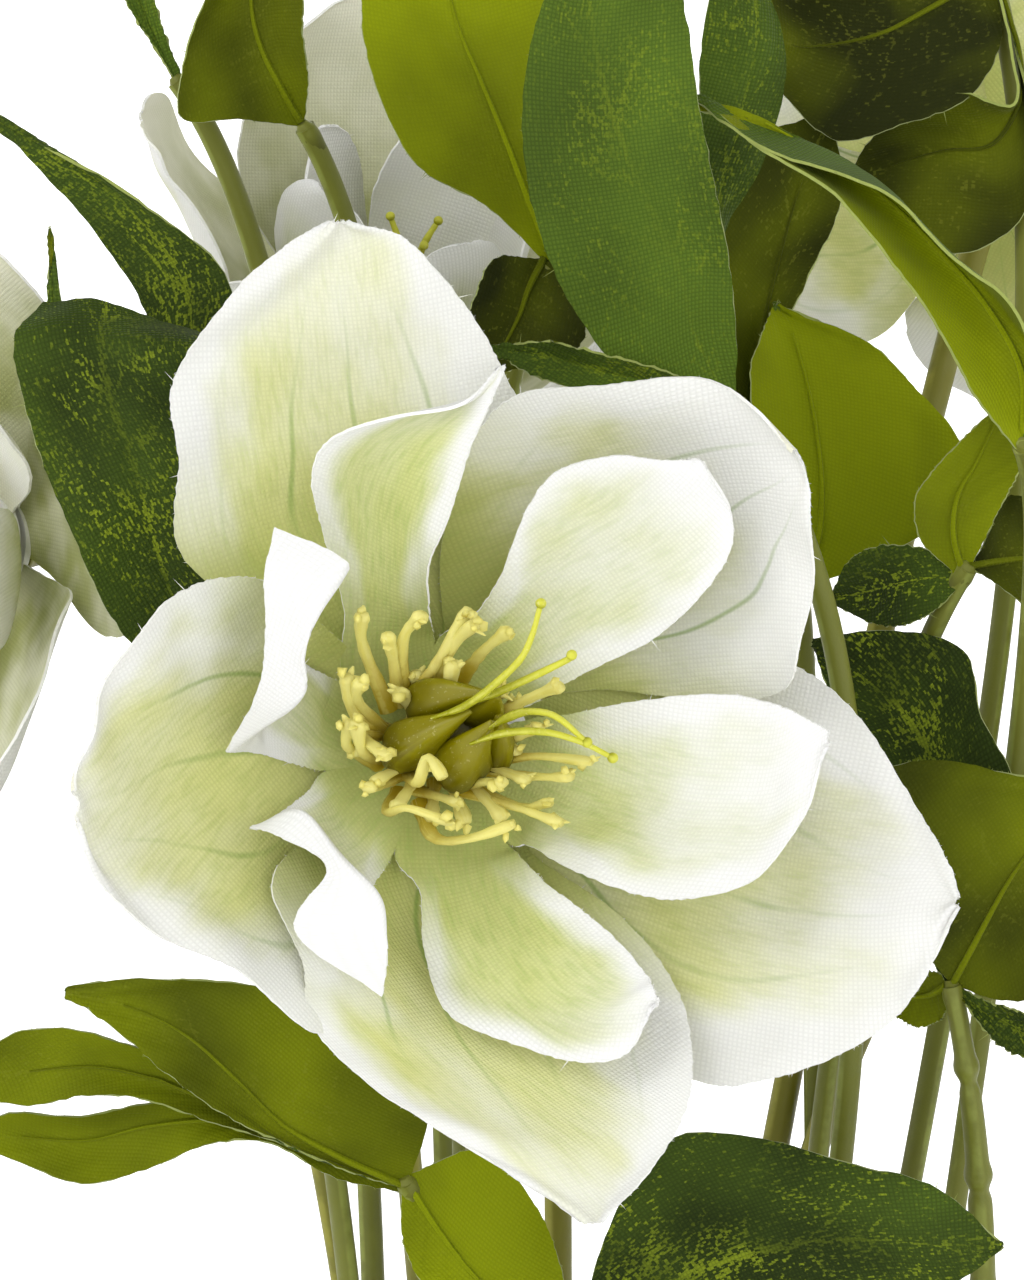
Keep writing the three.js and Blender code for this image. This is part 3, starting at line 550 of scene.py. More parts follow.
def potting_soil(name, colour, light):
    """Peat with bark crumbs: dark brown, dull and broken, with a few paler bits."""
    material, tree = fresh(name)
    spot = add(tree, "TexCoord", out=3)
    coarse = add(tree, "TexNoise", [spot, 1000.0 / 5.0, 5.0, 0.65], **IN_SPACE)
    crumb = add(tree, "TexVoronoi", [spot, 1000.0 / 2.2], out=0)
    tone = add(tree, "Attribute", attribute_name="tone", out=2)
    pale = add(tree, "MapRange", [coarse, 0.45, 0.75, 0.0, 1.0], **SMOOTH)
    shade = lay_over(tree, colour, linear(light), pale, tone)
    height = add(tree, "Math", [crumb, 0.6, coarse], **TIMES_PLUS)
    bump = add(tree, "Bump", {"Strength": 0.8, "Distance": 0.0015, "Height": height})
    surface = {"Base Color": shade, "Roughness": 0.95, "Specular IOR Level": 0.2, "Normal": bump}
    add(tree, "OutputMaterial", [add(tree, "BsdfPrincipled", surface)])
    return material


def studio_paper(name, colour, glow):
    """Translucent white paper lit from behind, as on a light table: matt, with a slight tooth."""
    material, tree = fresh(name)
    tooth = add(tree, "TexNoise", [add(tree, "TexCoord", out=3), 1000.0 / 2.5, 2.0], **IN_SPACE)
    shade = lay_over(tree, colour, (0.8, 0.8, 0.8, 1.0), tooth, 0.1)
    surface = {"Base Color": shade, "Roughness": 0.95, "Specular IOR Level": 0.1}
    surface.update({"Emission Color": (1.0, 1.0, 1.0, 1.0), "Emission Strength": glow})
    add(tree, "OutputMaterial", [add(tree, "BsdfPrincipled", surface)])
    return material


# ---- Blooms --------------------------------------------------------------------------------------

# Where each bloom's middle is, the way it looks, how far its sepals stand up and the draw that shapes it.
BLOOMS = {
    "front": dict(centre=(-11.5, -60, 285), turn=0, tilt=5, foot=(-3, -13), seed=1),
    "left": dict(centre=(-60, -9, 300), turn=-45, tilt=5, open=28, wash=0.22, foot=(-14, -5), seed=3),
    "upper_left": dict(centre=(-19, 36, 318), turn=20, tilt=58, open=42, wash=0.4, foot=(-7, 8), seed=5),
    "upper_right": dict(
        centre=(50, 24, 338), turn=165, tilt=20, open=31, spin=35, foot=(8, 8), seed=8, reach=32, wash=0.5
    ),
    "right": dict(centre=(66, -6, 273), turn=76, tilt=2, open=33, wash=0.45, foot=(15, -2), seed=13),
    "back": dict(centre=(0, 62, 294), turn=180, tilt=10, open=28, wash=0.4, foot=(1, 14), seed=21),
}
PETAL_LEVEL, STAMEN_LEVEL, CARPEL_LEVEL = 2.5, 4.3, 5.8
LEAST_HALF = 0.4
STYLE_RADIUS, STYLE_BALL = 0.42, 0.55
STAMEN_WIDTH = {"front": 0.74, "common": 0.6}

# The front bloom's blades. Each is a net of lines from root to tip, from one margin to the other, as points
# (right, up, towards the viewer) from the bloom's middle.
FRONT_SEPALS = [
    [
        [
            (-3.5, 4, 0.5), (-14.5, 9, 1), (-26, 17, 2.5), (-26.5, 27, 3.5), (-27, 34.5, 4.5), (-21.5, 43, 5),
            (-16, 48, 5), (-11.5, 50.5, 5),
        ],
        [
            (-2, 5, 0.5), (-5.5, 13, 1), (-9, 21, 1), (-10, 28, 1.5), (-10.5, 34, 2), (-10.5, 41, 3),
            (-10.5, 47, 4), (-10.5, 50.5, 5),
        ],
        [
            (0.5, 4, 0.5), (5.5, 13, 1), (8.5, 21, 1.5), (8.5, 29, 2), (6, 35.5, 3), (2.5, 41.5, 4),
            (-3.5, 48.5, 5), (-9.5, 50.5, 5),
        ],
    ],
    [
        [
            (0.5, 6, 0.5), (-0.5, 17, 2.5), (2.5, 28, 5), (7, 33, 8), (15.5, 34, 11), (25, 34.5, 14),
            (30.5, 31.5, 15.5), (34, 27.5, 16),
        ],
        [
            (3.5, 4.5, 0.5), (10.5, 11, 1), (17.5, 16, 2.5), (24.5, 21, 6), (29, 24, 9.5), (32.5, 25.5, 12.5),
            (34, 26.5, 14.5), (34.5, 27, 16),
        ],
        [
            (5.5, 3, 0.5), (15.5, 4, 2), (25.5, 3, 4), (33.5, 4, 8), (35.5, 10, 11), (36, 17, 13),
            (36, 22.5, 14.5), (35, 26.5, 15.5),
        ],
    ],
    [
        [
            (6, 1.5, 0.5), (15.5, 5, 1), (25.5, 7, 1.5), (34.5, 6.5, 2.5), (41.5, 1, 3.5), (47, -8, 4.5),
            (50, -13, 5.5), (51, -16.5, 6),
        ],
        [
            (5.5, -3, 0.5), (13.5, -7, 0.5), (21.5, -10.5, 0.5), (29.5, -14, 1), (36.5, -16, 2),
            (42.5, -17, 3.5), (47, -17, 5), (50.5, -17, 6),
        ],
        [
            (3.5, -7, 0.5), (7.5, -17, 1), (14.5, -28, 1.5), (25, -35, 2.5), (33.5, -34.5, 3.5),
            (41.5, -31, 4.5), (46.5, -26.5, 5.5), (51, -17.5, 6),
        ],
    ],
    [
        [
            (-4.5, -6, 0.5), (-12.5, -10, 4), (-17, -15, 9), (-14, -23, 8.5), (-13, -29, 9),
            (-6.5, -35.5, 10), (3.5, -41.5, 12), (13.5, -48, 13),
        ],
        [
            (-0.5, -7, 0.5), (-1.5, -13, 1), (-1, -20, 2), (2, -27.5, 5), (5.5, -33.5, 8), (9.5, -39, 10.5),
            (12.5, -44, 12.5), (14.5, -48, 14),
        ],
        [
            (3.5, -7, 0.5), (9.5, -13, 1.5), (17.5, -18.5, 4), (23, -25.5, 6.5), (24.5, -32.5, 8.5),
            (23.5, -38, 10.5), (19.5, -44, 12.5), (15.5, -48, 14),
        ],
    ],
    [
        [
            (-4.5, 3, 0.5), (-10.5, 9, 4), (-17, 14.5, 8), (-22.5, 15, 11), (-27, 12.5, 14.5),
            (-32, 6.5, 17.5), (-34.5, -0.5, 20), (-35.5, -5.5, 21),
        ],
        [
            (-5, -0.5, 0.5), (-10.5, -2, 1), (-16.5, -3.5, 3), (-22, -5, 6.5), (-27, -6, 10.5), (-31, -7, 15),
            (-34, -7.5, 18.5), (-35.5, -7, 21),
        ],
        [
            (-4.5, -4, 0.5), (-9.5, -14, 2), (-10, -24, 5), (-12.5, -30, 8.5), (-20.5, -23.5, 12),
            (-28.5, -19.5, 16), (-33.5, -14.5, 20), (-35.5, -9, 21),
        ],
    ],
]

# The inner petals are the lobes of one sheet, which neighbours share up to the notches between them. The last
# two rise, lean over the middle and turn back outwards.
FRONT_PETALS = [
    [
        [
            (-3, -0.5, 3), (-10, 4.5, 3), (-10, 12, 4.5), (-12, 19.5, 7), (-13, 25, 10), (-11, 28.5, 12),
            (-4.5, 31, 14), (2, 32, 16), (5.5, 35.5, 17),
        ],
        [
            (-2, 0, 3), (-5.5, 6.5, 3), (-6, 12, 3.5), (-6.5, 18, 5), (-6.5, 24, 7), (-4.5, 28.5, 10),
            (-0.5, 31.5, 13), (3.5, 33, 15.5), (6, 35.5, 17),
        ],
        [
            (-1, 0.5, 3), (-1, 8.5, 3), (-1.5, 11.5, 6), (-1.5, 16, 9), (0.5, 21.5, 12), (2.5, 27.5, 14.5),
            (4.5, 32, 16), (5.5, 34, 17), (6, 35.5, 17.5),
        ],
    ],
    [
        [
            (-1, 0.5, 3), (-1, 8.5, 3), (2.5, 11, 5), (5.5, 15, 8), (8, 21.5, 11), (11, 25.5, 13),
            (16.5, 27, 15), (21, 26.5, 16), (24.5, 26.5, 17),
        ],
        [
            (0, 0, 3), (3.5, 5.5, 3), (6.5, 8, 4), (10, 11.5, 5.5), (14.5, 15.5, 8), (19, 19, 11),
            (22, 22, 14), (24, 24.5, 16), (25, 26.5, 17),
        ],
        [
            (1, -1, 3), (8, 2.5, 3), (11, 4, 4.5), (14.5, 6, 6), (20.5, 9, 9), (25, 13, 12), (28, 17.5, 14),
            (28, 21.5, 15.5), (25.5, 26, 17),
        ],
    ],
    [
        [
            (1, -1, 3), (8, 1, 3), (12, 1.5, 4), (16.5, 2.5, 6), (23.5, 3.5, 9), (28.5, 3.5, 11),
            (33, 2.5, 13), (36, 1, 14), (37.5, 0, 15),
        ],
        [
            (1, -2.5, 3), (7, -4, 3), (11.5, -5.5, 4), (17.5, -6.5, 5), (23.5, -7, 7), (28, -6.5, 9),
            (32.5, -5.5, 11), (35.5, -3, 13), (37.5, -1, 14.5),
        ],
        [
            (1, -4, 3), (6, -11, 3), (8.5, -11.5, 4.5), (12, -13.5, 6), (18.5, -16, 8), (24, -16.5, 10),
            (30.5, -14.5, 12), (35, -8.5, 13.5), (37.5, -1.5, 14.5),
        ],
    ],
    [
        [
            (-2, -4.5, 3), (-5, -12, 3), (-2.5, -16, 4.5), (-2, -21.5, 6.5), (0.5, -28, 9), (7.5, -31, 10.5),
            (13.5, -32.5, 12), (18, -31.5, 13), (20.5, -27, 13.5),
        ],
        [
            (-0.5, -4.5, 3), (0.5, -11.5, 3), (1.5, -15, 3.5), (3.5, -19, 5), (7, -23, 7.5), (11, -26, 9.5),
            (15, -27.5, 11.5), (18.5, -27, 13), (21, -26.5, 13.5),
        ],
        [
            (1, -4, 3), (6, -11, 3), (7.5, -12.5, 4.5), (10, -15, 6.5), (14, -18, 8.5), (17.5, -21, 10.5),
            (20, -24, 12), (20.5, -25, 13), (21, -26, 13.5),
        ],
    ],
    [
        [
            (-3.5, -2.5, 3), (-11.5, -4, 3), (-13.5, -6, 3.5), (-15.5, -7.5, 5), (-17.5, -9, 8),
            (-18.5, -9.5, 9), (-19, -9.5, 9.5),
        ],
        [
            (-3, -3, 3), (-10, -6, 3), (-12, -7.5, 3.5), (-14, -9, 7), (-14, -8, 11.5), (-14, -8, 13.5),
            (-15.5, -10.5, 12.5),
        ],
        [
            (-3, -3.5, 3), (-8, -8, 3), (-10, -10.5, 4), (-12, -11.5, 8), (-11, -11.5, 13),
            (-10, -12.5, 15.5), (-11.5, -13.5, 15),
        ],
        [
            (-2.5, -4, 3), (-6.5, -10, 3), (-8, -12.5, 4), (-10, -15, 8), (-8.5, -15.5, 13),
            (-6.5, -16.5, 16), (-14.5, -19.5, 14),
        ],
        [
            (-2, -4.5, 3), (-5, -12, 3), (-6.5, -14.5, 4.5), (-8, -17, 8), (-6.5, -19.5, 12.5),
            (-5.5, -21, 15.5), (-6, -26, 13.5),
        ],
    ],
    [
        [
            (-3, -0.5, 3), (-10, 4.5, 3), (-12, 5.5, 4), (-14.5, 7.5, 6), (-14, 13, 11), (-9.5, 16.5, 15),
            (-16.5, 20, 13.5),
        ],
        [
            (-3.5, -1, 3), (-10.5, 2.5, 3), (-12.5, 3.5, 4), (-15.5, 7, 7), (-15.5, 10.5, 12),
            (-12, 12, 15.5), (-17.5, 15, 14),
        ],
        [
            (-3.5, -1.5, 3), (-11, 0, 3), (-13, 1.5, 3.5), (-16.5, 4, 7), (-16, 6.5, 12), (-13.5, 7.5, 15.5),
            (-17.5, 9.5, 14),
        ],
        [
            (-3.5, -2, 3), (-11, -2, 3), (-14, -1, 3.5), (-18, 1, 6.5), (-16.5, 3, 11), (-14, 3.5, 13.5),
            (-18, 4.5, 12.5),
        ],
        [
            (-3.5, -2.5, 3), (-11.5, -4, 3), (-14.5, -3.5, 3), (-17.5, -2.5, 4), (-19.5, -2, 6), (-21, -2, 8),
            (-21.5, -2, 8.5),
        ],
    ],
]

# Its stamens, each through points from root to tip, its seed pods with how plump they are, and their styles.
FRONT_STAMENS = [
    [(-5.5, 2, 6), (-8, 8.5, 10), (-8, 11.5, 13)],
    [(-4.5, 2.5, 6), (-5, 7, 10), (-5.5, 9.5, 13)],
    [(-4, 3, 6), (-4, 9, 11), (-2, 11.5, 14)],
    [(-3.5, 2.5, 6), (-0.5, 7, 10), (2.5, 12, 13)],
    [(-2, 3, 6), (1, 8.5, 11), (3, 10.5, 14)],
    [(1.5, 5, 6), (4, 8, 9), (6.5, 10, 11)],
    [(4, 0.5, 6), (8, 3, 9), (11.5, 4.5, 12)],
    [(5, -3, 6), (9.5, -2.5, 9), (14.5, -3, 12)],
    [(3.5, -4, 6), (9, -4.5, 9), (12.5, -4.5, 12)],
    [(2, -5.5, 6), (4, -5, 10), (6, -5, 12)],
    [(1.5, -6, 6), (7, -7.5, 9), (11.5, -9, 12)],
    [(2.5, -5.5, 6), (7.5, -7.5, 8), (10.5, -7, 10)],
    [(-2.5, -7, 6), (-1, -10.5, 9), (2.5, -10.5, 12), (7, -9, 13)],
    [(-4.5, -6, 6), (-5.5, -8, 10), (-3.5, -7.5, 13), (1, -9, 14)],
    [(-2.5, -6, 6), (-0.5, -6.5, 9), (1.5, -7, 12)],
    [(-3.5, -4.5, 6), (-2.5, -5, 12), (-1.5, -2.5, 14), (0, -4.5, 15)],
    [(-4.5, -4.5, 6), (-6.5, -5.5, 9), (-7.5, -5.5, 12)],
    [(-6.5, -0.5, 6), (-8, -0.5, 10), (-5.5, -2.5, 14)],
    [(-6.5, -0.5, 6), (-9, 2, 10), (-9.5, 5.5, 13)],
    [(-6, 0, 6), (-8.5, 3, 11), (-8, 5, 14)],
    [(-6.5, -3.5, 6), (-9.5, -1.5, 10), (-9, 1, 13)],
    [(-6.5, -3, 6), (-8, -2, 11), (-8.5, 1, 14)],
    [(5, -1.5, 6), (7.5, -0.5, 9), (9.5, 0.5, 11)],
]
FRONT_PODS = [
    (3.1, [(-4.2, -2.6, 6.5), (-2.4, -0.8, 10.5), (2.6, 2.0, 13.8)]),
    (2.6, [(-2.6, 1.8, 6), (-0.1, 3.4, 9.5), (4.0, 3.8, 12.8)]),
    (2.9, [(1.2, -4.6, 6.5), (2.3, -2.4, 11), (4.8, 1.0, 14.2)]),
    (2.2, [(4.3, -3.0, 6), (5.4, -1.2, 9), (5.4, 1.6, 12.6)]),
    (1.7, [(2.8, 1.0, 7), (4.6, 2.2, 10), (5.4, 3.4, 13.0)]),
]
FRONT_STYLES = [
    [(-1.2, 1.3, 12.6), (2.6, 2.8, 15), (7, 6.5, 17), (8.5, 9, 18), (9.5, 12.5, 19)],
    [(2.4, 2.6, 13.6), (7, 4.6, 15), (12, 7, 17), (12.5, 7.5, 18)],
    [(4.4, 0.3, 14), (6.5, 1.5, 15.4), (8.5, 2, 16), (11, 1.5, 17), (14, -1, 17)],
    [(2.6, -1.2, 14), (6, -0.1, 15.4), (10, 0, 17), (13.5, -1, 17), (16.5, -2.5, 17)],
]


def bloom_axes(bloom):
    """Give a bloom's right, top and looking directions."""
    a, e = math.radians(bloom["turn"]), math.radians(bloom["tilt"])
    facing = np.array([math.sin(a) * math.cos(e), -math.cos(a) * math.cos(e), math.sin(e)])
    right = unit(np.cross([0, 0, 1], facing))
    return np.array([right, np.cross(facing, right), facing])


def in_bloom(bloom, points):
    """Take points from a bloom's own frame to the plant's."""
    return np.asarray(points, float) @ bloom_axes(bloom) + np.array(bloom["centre"], float)


def draw_out(net, rows, columns):
    """Draw a net of lines from root to tip out to rows and columns of points."""
    down = through(np.asarray(net, float).transpose(1, 0, 2), np.linspace(0, 1, rows))
    return through(down.transpose(1, 0, 2), np.linspace(0, 1, columns)).transpose(1, 0, 2)


def net_sheet(net, rows, columns):
    """Draw out a net, with its face towards the viewer at the root."""
    grid = draw_out(net, rows, columns)
    return grid if normals(grid)[rows // 8 : rows // 4, :, 2].mean() > 0 else grid[:, ::-1]


def spine_frames(spine, face, roll, t):
    """Follow a Bezier line with a cross direction carried along it, which roll turns about it, in degrees."""
    steps = 24
    a, b, c, d = np.asarray(spine, float)
    u = np.linspace(0, 1, steps + 1)[:, None]
    at = a * (1 - u) ** 3 + 3 * b * u * (1 - u) ** 2 + 3 * c * u**2 * (1 - u) + d * u**3
    ahead = unit((b - a) * (1 - u) ** 2 + 2 * (c - b) * u * (1 - u) + (d - c) * u**2)
    side = unit(np.cross(face, ahead[0]))
    turned = []
    for k, heading in enumerate(ahead):
        side = unit(side - heading * np.dot(side, heading))
        angle = math.radians(along(roll, k / steps))
        turned.append(side * math.cos(angle) + np.cross(heading, side) * math.sin(angle))
    turned = np.array(turned)
    return [through(values, t) for values in (at, turned, np.cross(ahead, turned))]


def blade_sheet(blade, cut, rows, columns):
    """Rows and columns of points of a blade of the common rule: a middle line, half widths at root, middle
    and tip, an end that closes, sides that curl up and margins that ripple."""
    t = 0.995 * np.sin(np.linspace(0, math.pi / 2, rows))[:, None]
    s = np.linspace(-1, 1, columns)[None, :]
    closing = (1 - t ** cut["blunt"]) ** cut["point"] * (cut["waist"] + (1 - cut["waist"]) * ease(t, 0, 0.5))
    half = np.maximum(along(blade["half"], t) * closing, LEAST_HALF)
    over = s * half
    curl = blade.get("curl", ((0, 0, 0), (0, 0, 0)))
    bend = np.radians(np.where(s < 0, along(curl[0], t), along(curl[1], t))) / half + 1e-9
    sideways = np.sin(bend * over) / bend
    curled = (1 - np.cos(bend * over)) / bend
    run = 2 * math.pi * (blade.get("ripples", 2) * t + blade.get("phase", 0))
    waved = blade.get("ripple", 0) * s**2 * np.sin(run + s) * np.sqrt(t)
    lifted = curled + waved + np.abs(over) * math.tan(math.radians(blade.get("fold", 0)))
    face, roll = blade.get("face", (0, 0, 1)), blade.get("roll", (0, 0, 0))
    at, side, facing = spine_frames(blade["spine"], face, roll, t.ravel())
    return at[:, None] + side[:, None] * sideways[..., None] + facing[:, None] * lifted[..., None]


def common_spine(angle, start, length, lift, knee):
    """The middle line of a blade of a bloom of the common form."""
    heading = np.array([math.cos(math.radians(angle)), math.sin(math.radians(angle)), 0])
    rise_by, run = math.sin(math.radians(lift)), math.cos(math.radians(lift))
    middle = 0.34 * (1 + run)
    places = [
        (start, 0.45),
        (start + knee, 0.6),
        (length * middle, length * rise_by * 0.45),
        (length * run, length * rise_by),
    ]
    return [heading * out + np.array([0, 0, height]) for out, height in places]


def common_blades(bloom, draw):
    """The sepals and petals of a bloom of the common form, drawn in the order of the part's source."""
    sepals, petals, spin = [], [], bloom.get("spin", 0)
    for i in range(5):
        angle, length = 90 + spin - 72 * i + spread(draw, 4), 44 + spread(draw, 2)
        lift = bloom["open"] + spread(draw, 6)
        blade = {"half": (2.8, 16, 21), "roll": (3, 9, 12), "curl": ((0, 10, 20), (0, 10, 25)), "ripple": 0.8}
        sepals.append({**blade, "spine": common_spine(angle, 3, length, lift, 9), "phase": draw()})
    for i in range(5):
        angle, length = 126 + spin - 72 * i + spread(draw, 5), 28 + spread(draw, 2)
        lift = min(bloom["open"] + 16, 60) + spread(draw, 5)
        blade = {"half": (2.6, 7.5, 11), "roll": (4, 12, 12), "curl": ((0, 20, 30), (0, 20, 30))}
        petals.append({**blade, "spine": common_spine(angle, 4, length, lift, 5)})
    return sepals, petals


def soften(grid, draw, size, height):
    """Press soft random hollows into a sheet, less so at its root."""
    over = lengths(grid.transpose(1, 0, 2)).T
    down = lengths(grid)
    rows = len(grid)
    grown = ease(np.linspace(0, 1, rows), 0.08, 0.5)[:, None]
    return grid + normals(grid) * (waves(over, down, size, draw) * height * grown)[..., None]


def hub_disc(radius, level, rows=8, columns=40):
    """A round middle of a sheet, as rows of points from its centre to its margin."""
    angle = np.linspace(2 * math.pi, 0, columns)
    out = np.linspace(0.3, radius, rows)[:, None]
    return np.stack([out * np.cos(angle), out * np.sin(angle), level + 0 * out * angle], axis=-1)


# How far the green wash reaches out over each blade of the front bloom.
FRONT_SEPAL_WASH = [0.7, 0.3, 0.45, 0.85, 0.85]
FRONT_PETAL_WASH = [0.85, 0.5, 0.48, 0.8, 0.4, 0.4]
COMMON_CUT = {"waist": 0.6, "blunt": 4, "point": 0.5}


def lay_whorl(skin, bloom, grids, washes, draw, hollow, slant, thickness, ragged, fringe):
    """Lay the blades of a whorl. Hollow is the size and height of their soft dents, and slant the most that
    their weave is turned."""
    for grid, wash in zip(grids, washes):
        grid = in_bloom(bloom, soften(grid, draw, *hollow))
        lay_sheet(skin, grid, thickness, draw, wash, draw.uniform(-slant, slant), ragged, fringe)


def build_sepals(kit, materials):
    """Make the outer whorl of each bloom."""
    for name, bloom in BLOOMS.items():
        skin = Skin()
        draw = np.random.default_rng(100 + bloom["seed"])
        if name == "front":
            grids = [net_sheet(net, rows=110, columns=44) for net in FRONT_SEPALS]
            look = {"hollow": (16, 0.35), "ragged": 0.09, "fringe": 90}
            washes = FRONT_SEPAL_WASH
        else:
            blades = common_blades(bloom, seeded(bloom["seed"]))[0]
            grids = [blade_sheet(blade, COMMON_CUT, rows=44, columns=22) for blade in blades]
            look = {"hollow": (14, 0.35), "ragged": 0.12, "fringe": 30}
            washes = [bloom["wash"]] * len(grids)
        lay_whorl(skin, bloom, grids, washes, draw, slant=0.6, thickness=kit.sheet / MM, **look)
        lay_sheet(skin, in_bloom(bloom, hub_disc(radius=5.4, level=0.9)), 0.8, draw)
        skin.build(f"bloom_{name}_sepals", materials, [f"bloom_{name}_sepals"])


def build_petals(kit, materials):
    """Make the inner whorl of each bloom."""
    for name, bloom in BLOOMS.items():
        skin = Skin()
        draw = np.random.default_rng(200 + bloom["seed"])
        sheet = kit.sheet / MM
        if name == "front":
            grids = [net_sheet(net, rows=96, columns=40) for net in FRONT_PETALS]
            look = {"ragged": 0.08, "fringe": 70}
            washes, hub, hub_sheet = FRONT_PETAL_WASH, hub_disc(radius=9.5, level=2.75) + (-1, -2, 0), sheet
        else:
            blades = common_blades(bloom, seeded(bloom["seed"]))[1]
            level = (0, 0, PETAL_LEVEL)
            grids = [blade_sheet(blade, COMMON_CUT, rows=32, columns=18) + level for blade in blades]
            look = {"ragged": 0.12, "fringe": 20}
            washes, hub, hub_sheet = [bloom["wash"]] * len(grids), hub_disc(radius=5.9, level=3.1), 1.2
        lay_whorl(skin, bloom, grids, washes, draw, hollow=(12, 0.2), slant=0.25, thickness=sheet, **look)
        lay_sheet(skin, in_bloom(bloom, hub), hub_sheet, draw)
        skin.build(f"bloom_{name}_petals", materials, [f"bloom_{name}_petals"])


def lay_stamen(skin, bloom, points, draw, width):
    """A strap of soft plastic from a ring, with a torn blob and ragged tatters for an anther."""
    places = np.linspace(0, 1, 14)
    path = through(points, places)
    radii = width * (1.25 - 0.5 * np.sin(math.pi * places * 0.75) + 0.55 * places**5)
    radii *= draw.uniform(0.9, 1.12, len(path))
    radii[-1] *= 0.6
    look = {"twist": draw.uniform(0, math.pi), "tone": draw.random()}
    lay_tube(skin, in_bloom(bloom, path), radii, 8, flatten=0.68, **look)
    end, heading = path[-1], unit(path[-1] - path[-3])
    for _ in range(draw.integers(2, 5)):
        off = draw.normal(0, 0.4, 3)
        at = in_bloom(bloom, end - heading * draw.uniform(0, 0.9) + off)
        lay_lump(skin, at, draw.uniform(0.35, 0.6), draw, rough=0.45)
    for _ in range(draw.integers(0, 3)):
        aside = unit(np.cross(heading, draw.normal(0, 1, 3)))
        point = end + aside * draw.uniform(0.9, 1.7) + heading * 0.2
        fork = through([end - heading * 1.2, end - heading * 0.3 + aside * 0.6, point], np.linspace(0, 1, 5))
        lay_tube(skin, in_bloom(bloom, fork), [0.5, 0.46, 0.4, 0.3, 0.12], 5, flatten=0.6)


def build_stamens(materials):
    """Make the ring of stamens of each bloom."""
    for name, bloom in BLOOMS.items():
        skin = Skin()
        draw = np.random.default_rng(300 + bloom["seed"])
        front = name == "front"
        paths = list(FRONT_STAMENS) if front else []
        count, lean, centre = (14, (1.2, -0.4), (-1, -1.5)) if front else (30, (0, 0), (0, 0))
        for i in range(count):
            angle = 2 * math.pi * (i + draw.uniform(-0.3, 0.3)) / count
            out, height = draw.uniform(7.0, 9.5), draw.uniform(7, 12.5)
            bow = draw.uniform(0.8, 1.2)
            way = np.array([math.cos(angle), math.sin(angle)])
            spots = [(3.4, 4.8), (3.4 + (out - 3.4) * 0.35 * bow, height * 0.72), (out, height)]
            paths.append([(*(np.array(centre) + np.array(lean) * h / 12 + r * way), h) for r, h in spots])
        for path in paths:
            lay_stamen(skin, bloom, path, draw, STAMEN_WIDTH["front" if front else "common"])
        lay_sheet(skin, in_bloom(bloom, hub_disc(4.1, STAMEN_LEVEL + 0.6, rows=4, columns=24)), 1.1, draw)
        skin.places = [places * 0 for places in skin.places]
        skin.build(f"bloom_{name}_stamens", materials, [f"bloom_{name}_stamens"], crease=80)


def lay_pod(skin, bloom, points, plump, draw):
    """A plump seed pod through points from its foot to its beak, with a keel down its outer side."""
    places = np.linspace(0, 1, 20)
    path = through(points, places)
    radii = plump * np.sin(math.pi * (0.2 + 0.78 * places**0.8)) ** 1.1 * (1 - 0.3 * places) + 0.2
    lay_tube(skin, in_bloom(bloom, path), radii, 20, flatten=0.8, ridge=(3, 0.14), twist=draw.uniform(0, 6))
    side, up = ring_frames(path)
    keel = path + (side * math.cos(1.1) + up * math.sin(1.1)) * (radii * 0.97)[:, None]
    lay_tube(skin, in_bloom(bloom, keel[2:-1]), 0.12, 6)


def lay_style(skin, bloom, points, draw):
    """A curved style, thick at its foot, with a small ball at its end."""
    places = np.linspace(0, 1, 16)
    path = through(points, places)
    radii = STYLE_RADIUS * (1.5 - 0.75 * places**0.6) * (0.3 + 0.7 * ease(places, 0, 0.25))
    radii = radii * draw.uniform(0.94, 1.06, len(path))
    lay_tube(skin, in_bloom(bloom, path), radii, 8, place=1, flatten=0.85)
    heading = unit(path[-1] - path[-2])
    turn = np.linspace(0.15, math.pi - 0.15, 9)
    ball = path[-1] + heading * (-np.cos(turn) * STYLE_BALL)[:, None]
    lay_tube(skin, in_bloom(bloom, ball), STYLE_BALL * np.sin(turn), 10, place=1)


def build_carpels(materials):
    """Make the seed pods and styles of each bloom."""
    for name, bloom in BLOOMS.items():
        skin = Skin()
        draw = np.random.default_rng(400 + bloom["seed"])
        if name == "front":
            for plump, points in FRONT_PODS:
                lay_pod(skin, bloom, points, plump, draw)
            for points in FRONT_STYLES:
                lay_style(skin, bloom, points, draw)
        else:
            for k in range(3):
                angle = math.radians(120 * k + 20) + draw.uniform(-0.15, 0.15)
                way = np.array([math.cos(angle), math.sin(angle), 0])
                beak = way * 0.9 + (0, 0, 13)
                lay_pod(skin, bloom, [way * 1.5 + (0, 0, 5.2), way * 2.9 + (0, 0, 8.5), beak], 2.6, draw)
                points = [beak - (0, 0, 1), beak + way + (0, 0, 2.6), beak + way * 2.6 + (0, 0, 5.2)]
                lay_style(skin, bloom, points, draw)
        base = in_bloom(bloom, hub_disc(2.7, CARPEL_LEVEL + 0.6, rows=4, columns=20))
        lay_sheet(skin, base, 1.1, draw)
        skin.places[-1] = skin.places[-1] * 0
        skin.build(f"bloom_{name}_carpels", materials, [f"bloom_{name}_carpels"], crease=80)


# ---- Stems ---------------------------------------------------------------------------------------

SOIL_TOP, UPRIGHT, STEM_FOOT = 99, 72, 83

# How far below a stem's end each ring of its cap or collar stands, and the ring's radius.
CAP = ((6.5, 1.55), (5.6, 2.0), (4.2, 2.25), (2.8, 2.6), (1.4, 3.4), (0.5, 4.3), (0.05, 4.4))
COLLAR = ((3.0, 1.0), (2.2, 1.12), (1.2, 1.22), (0.2, 1.1), (-0.6, 0.6))


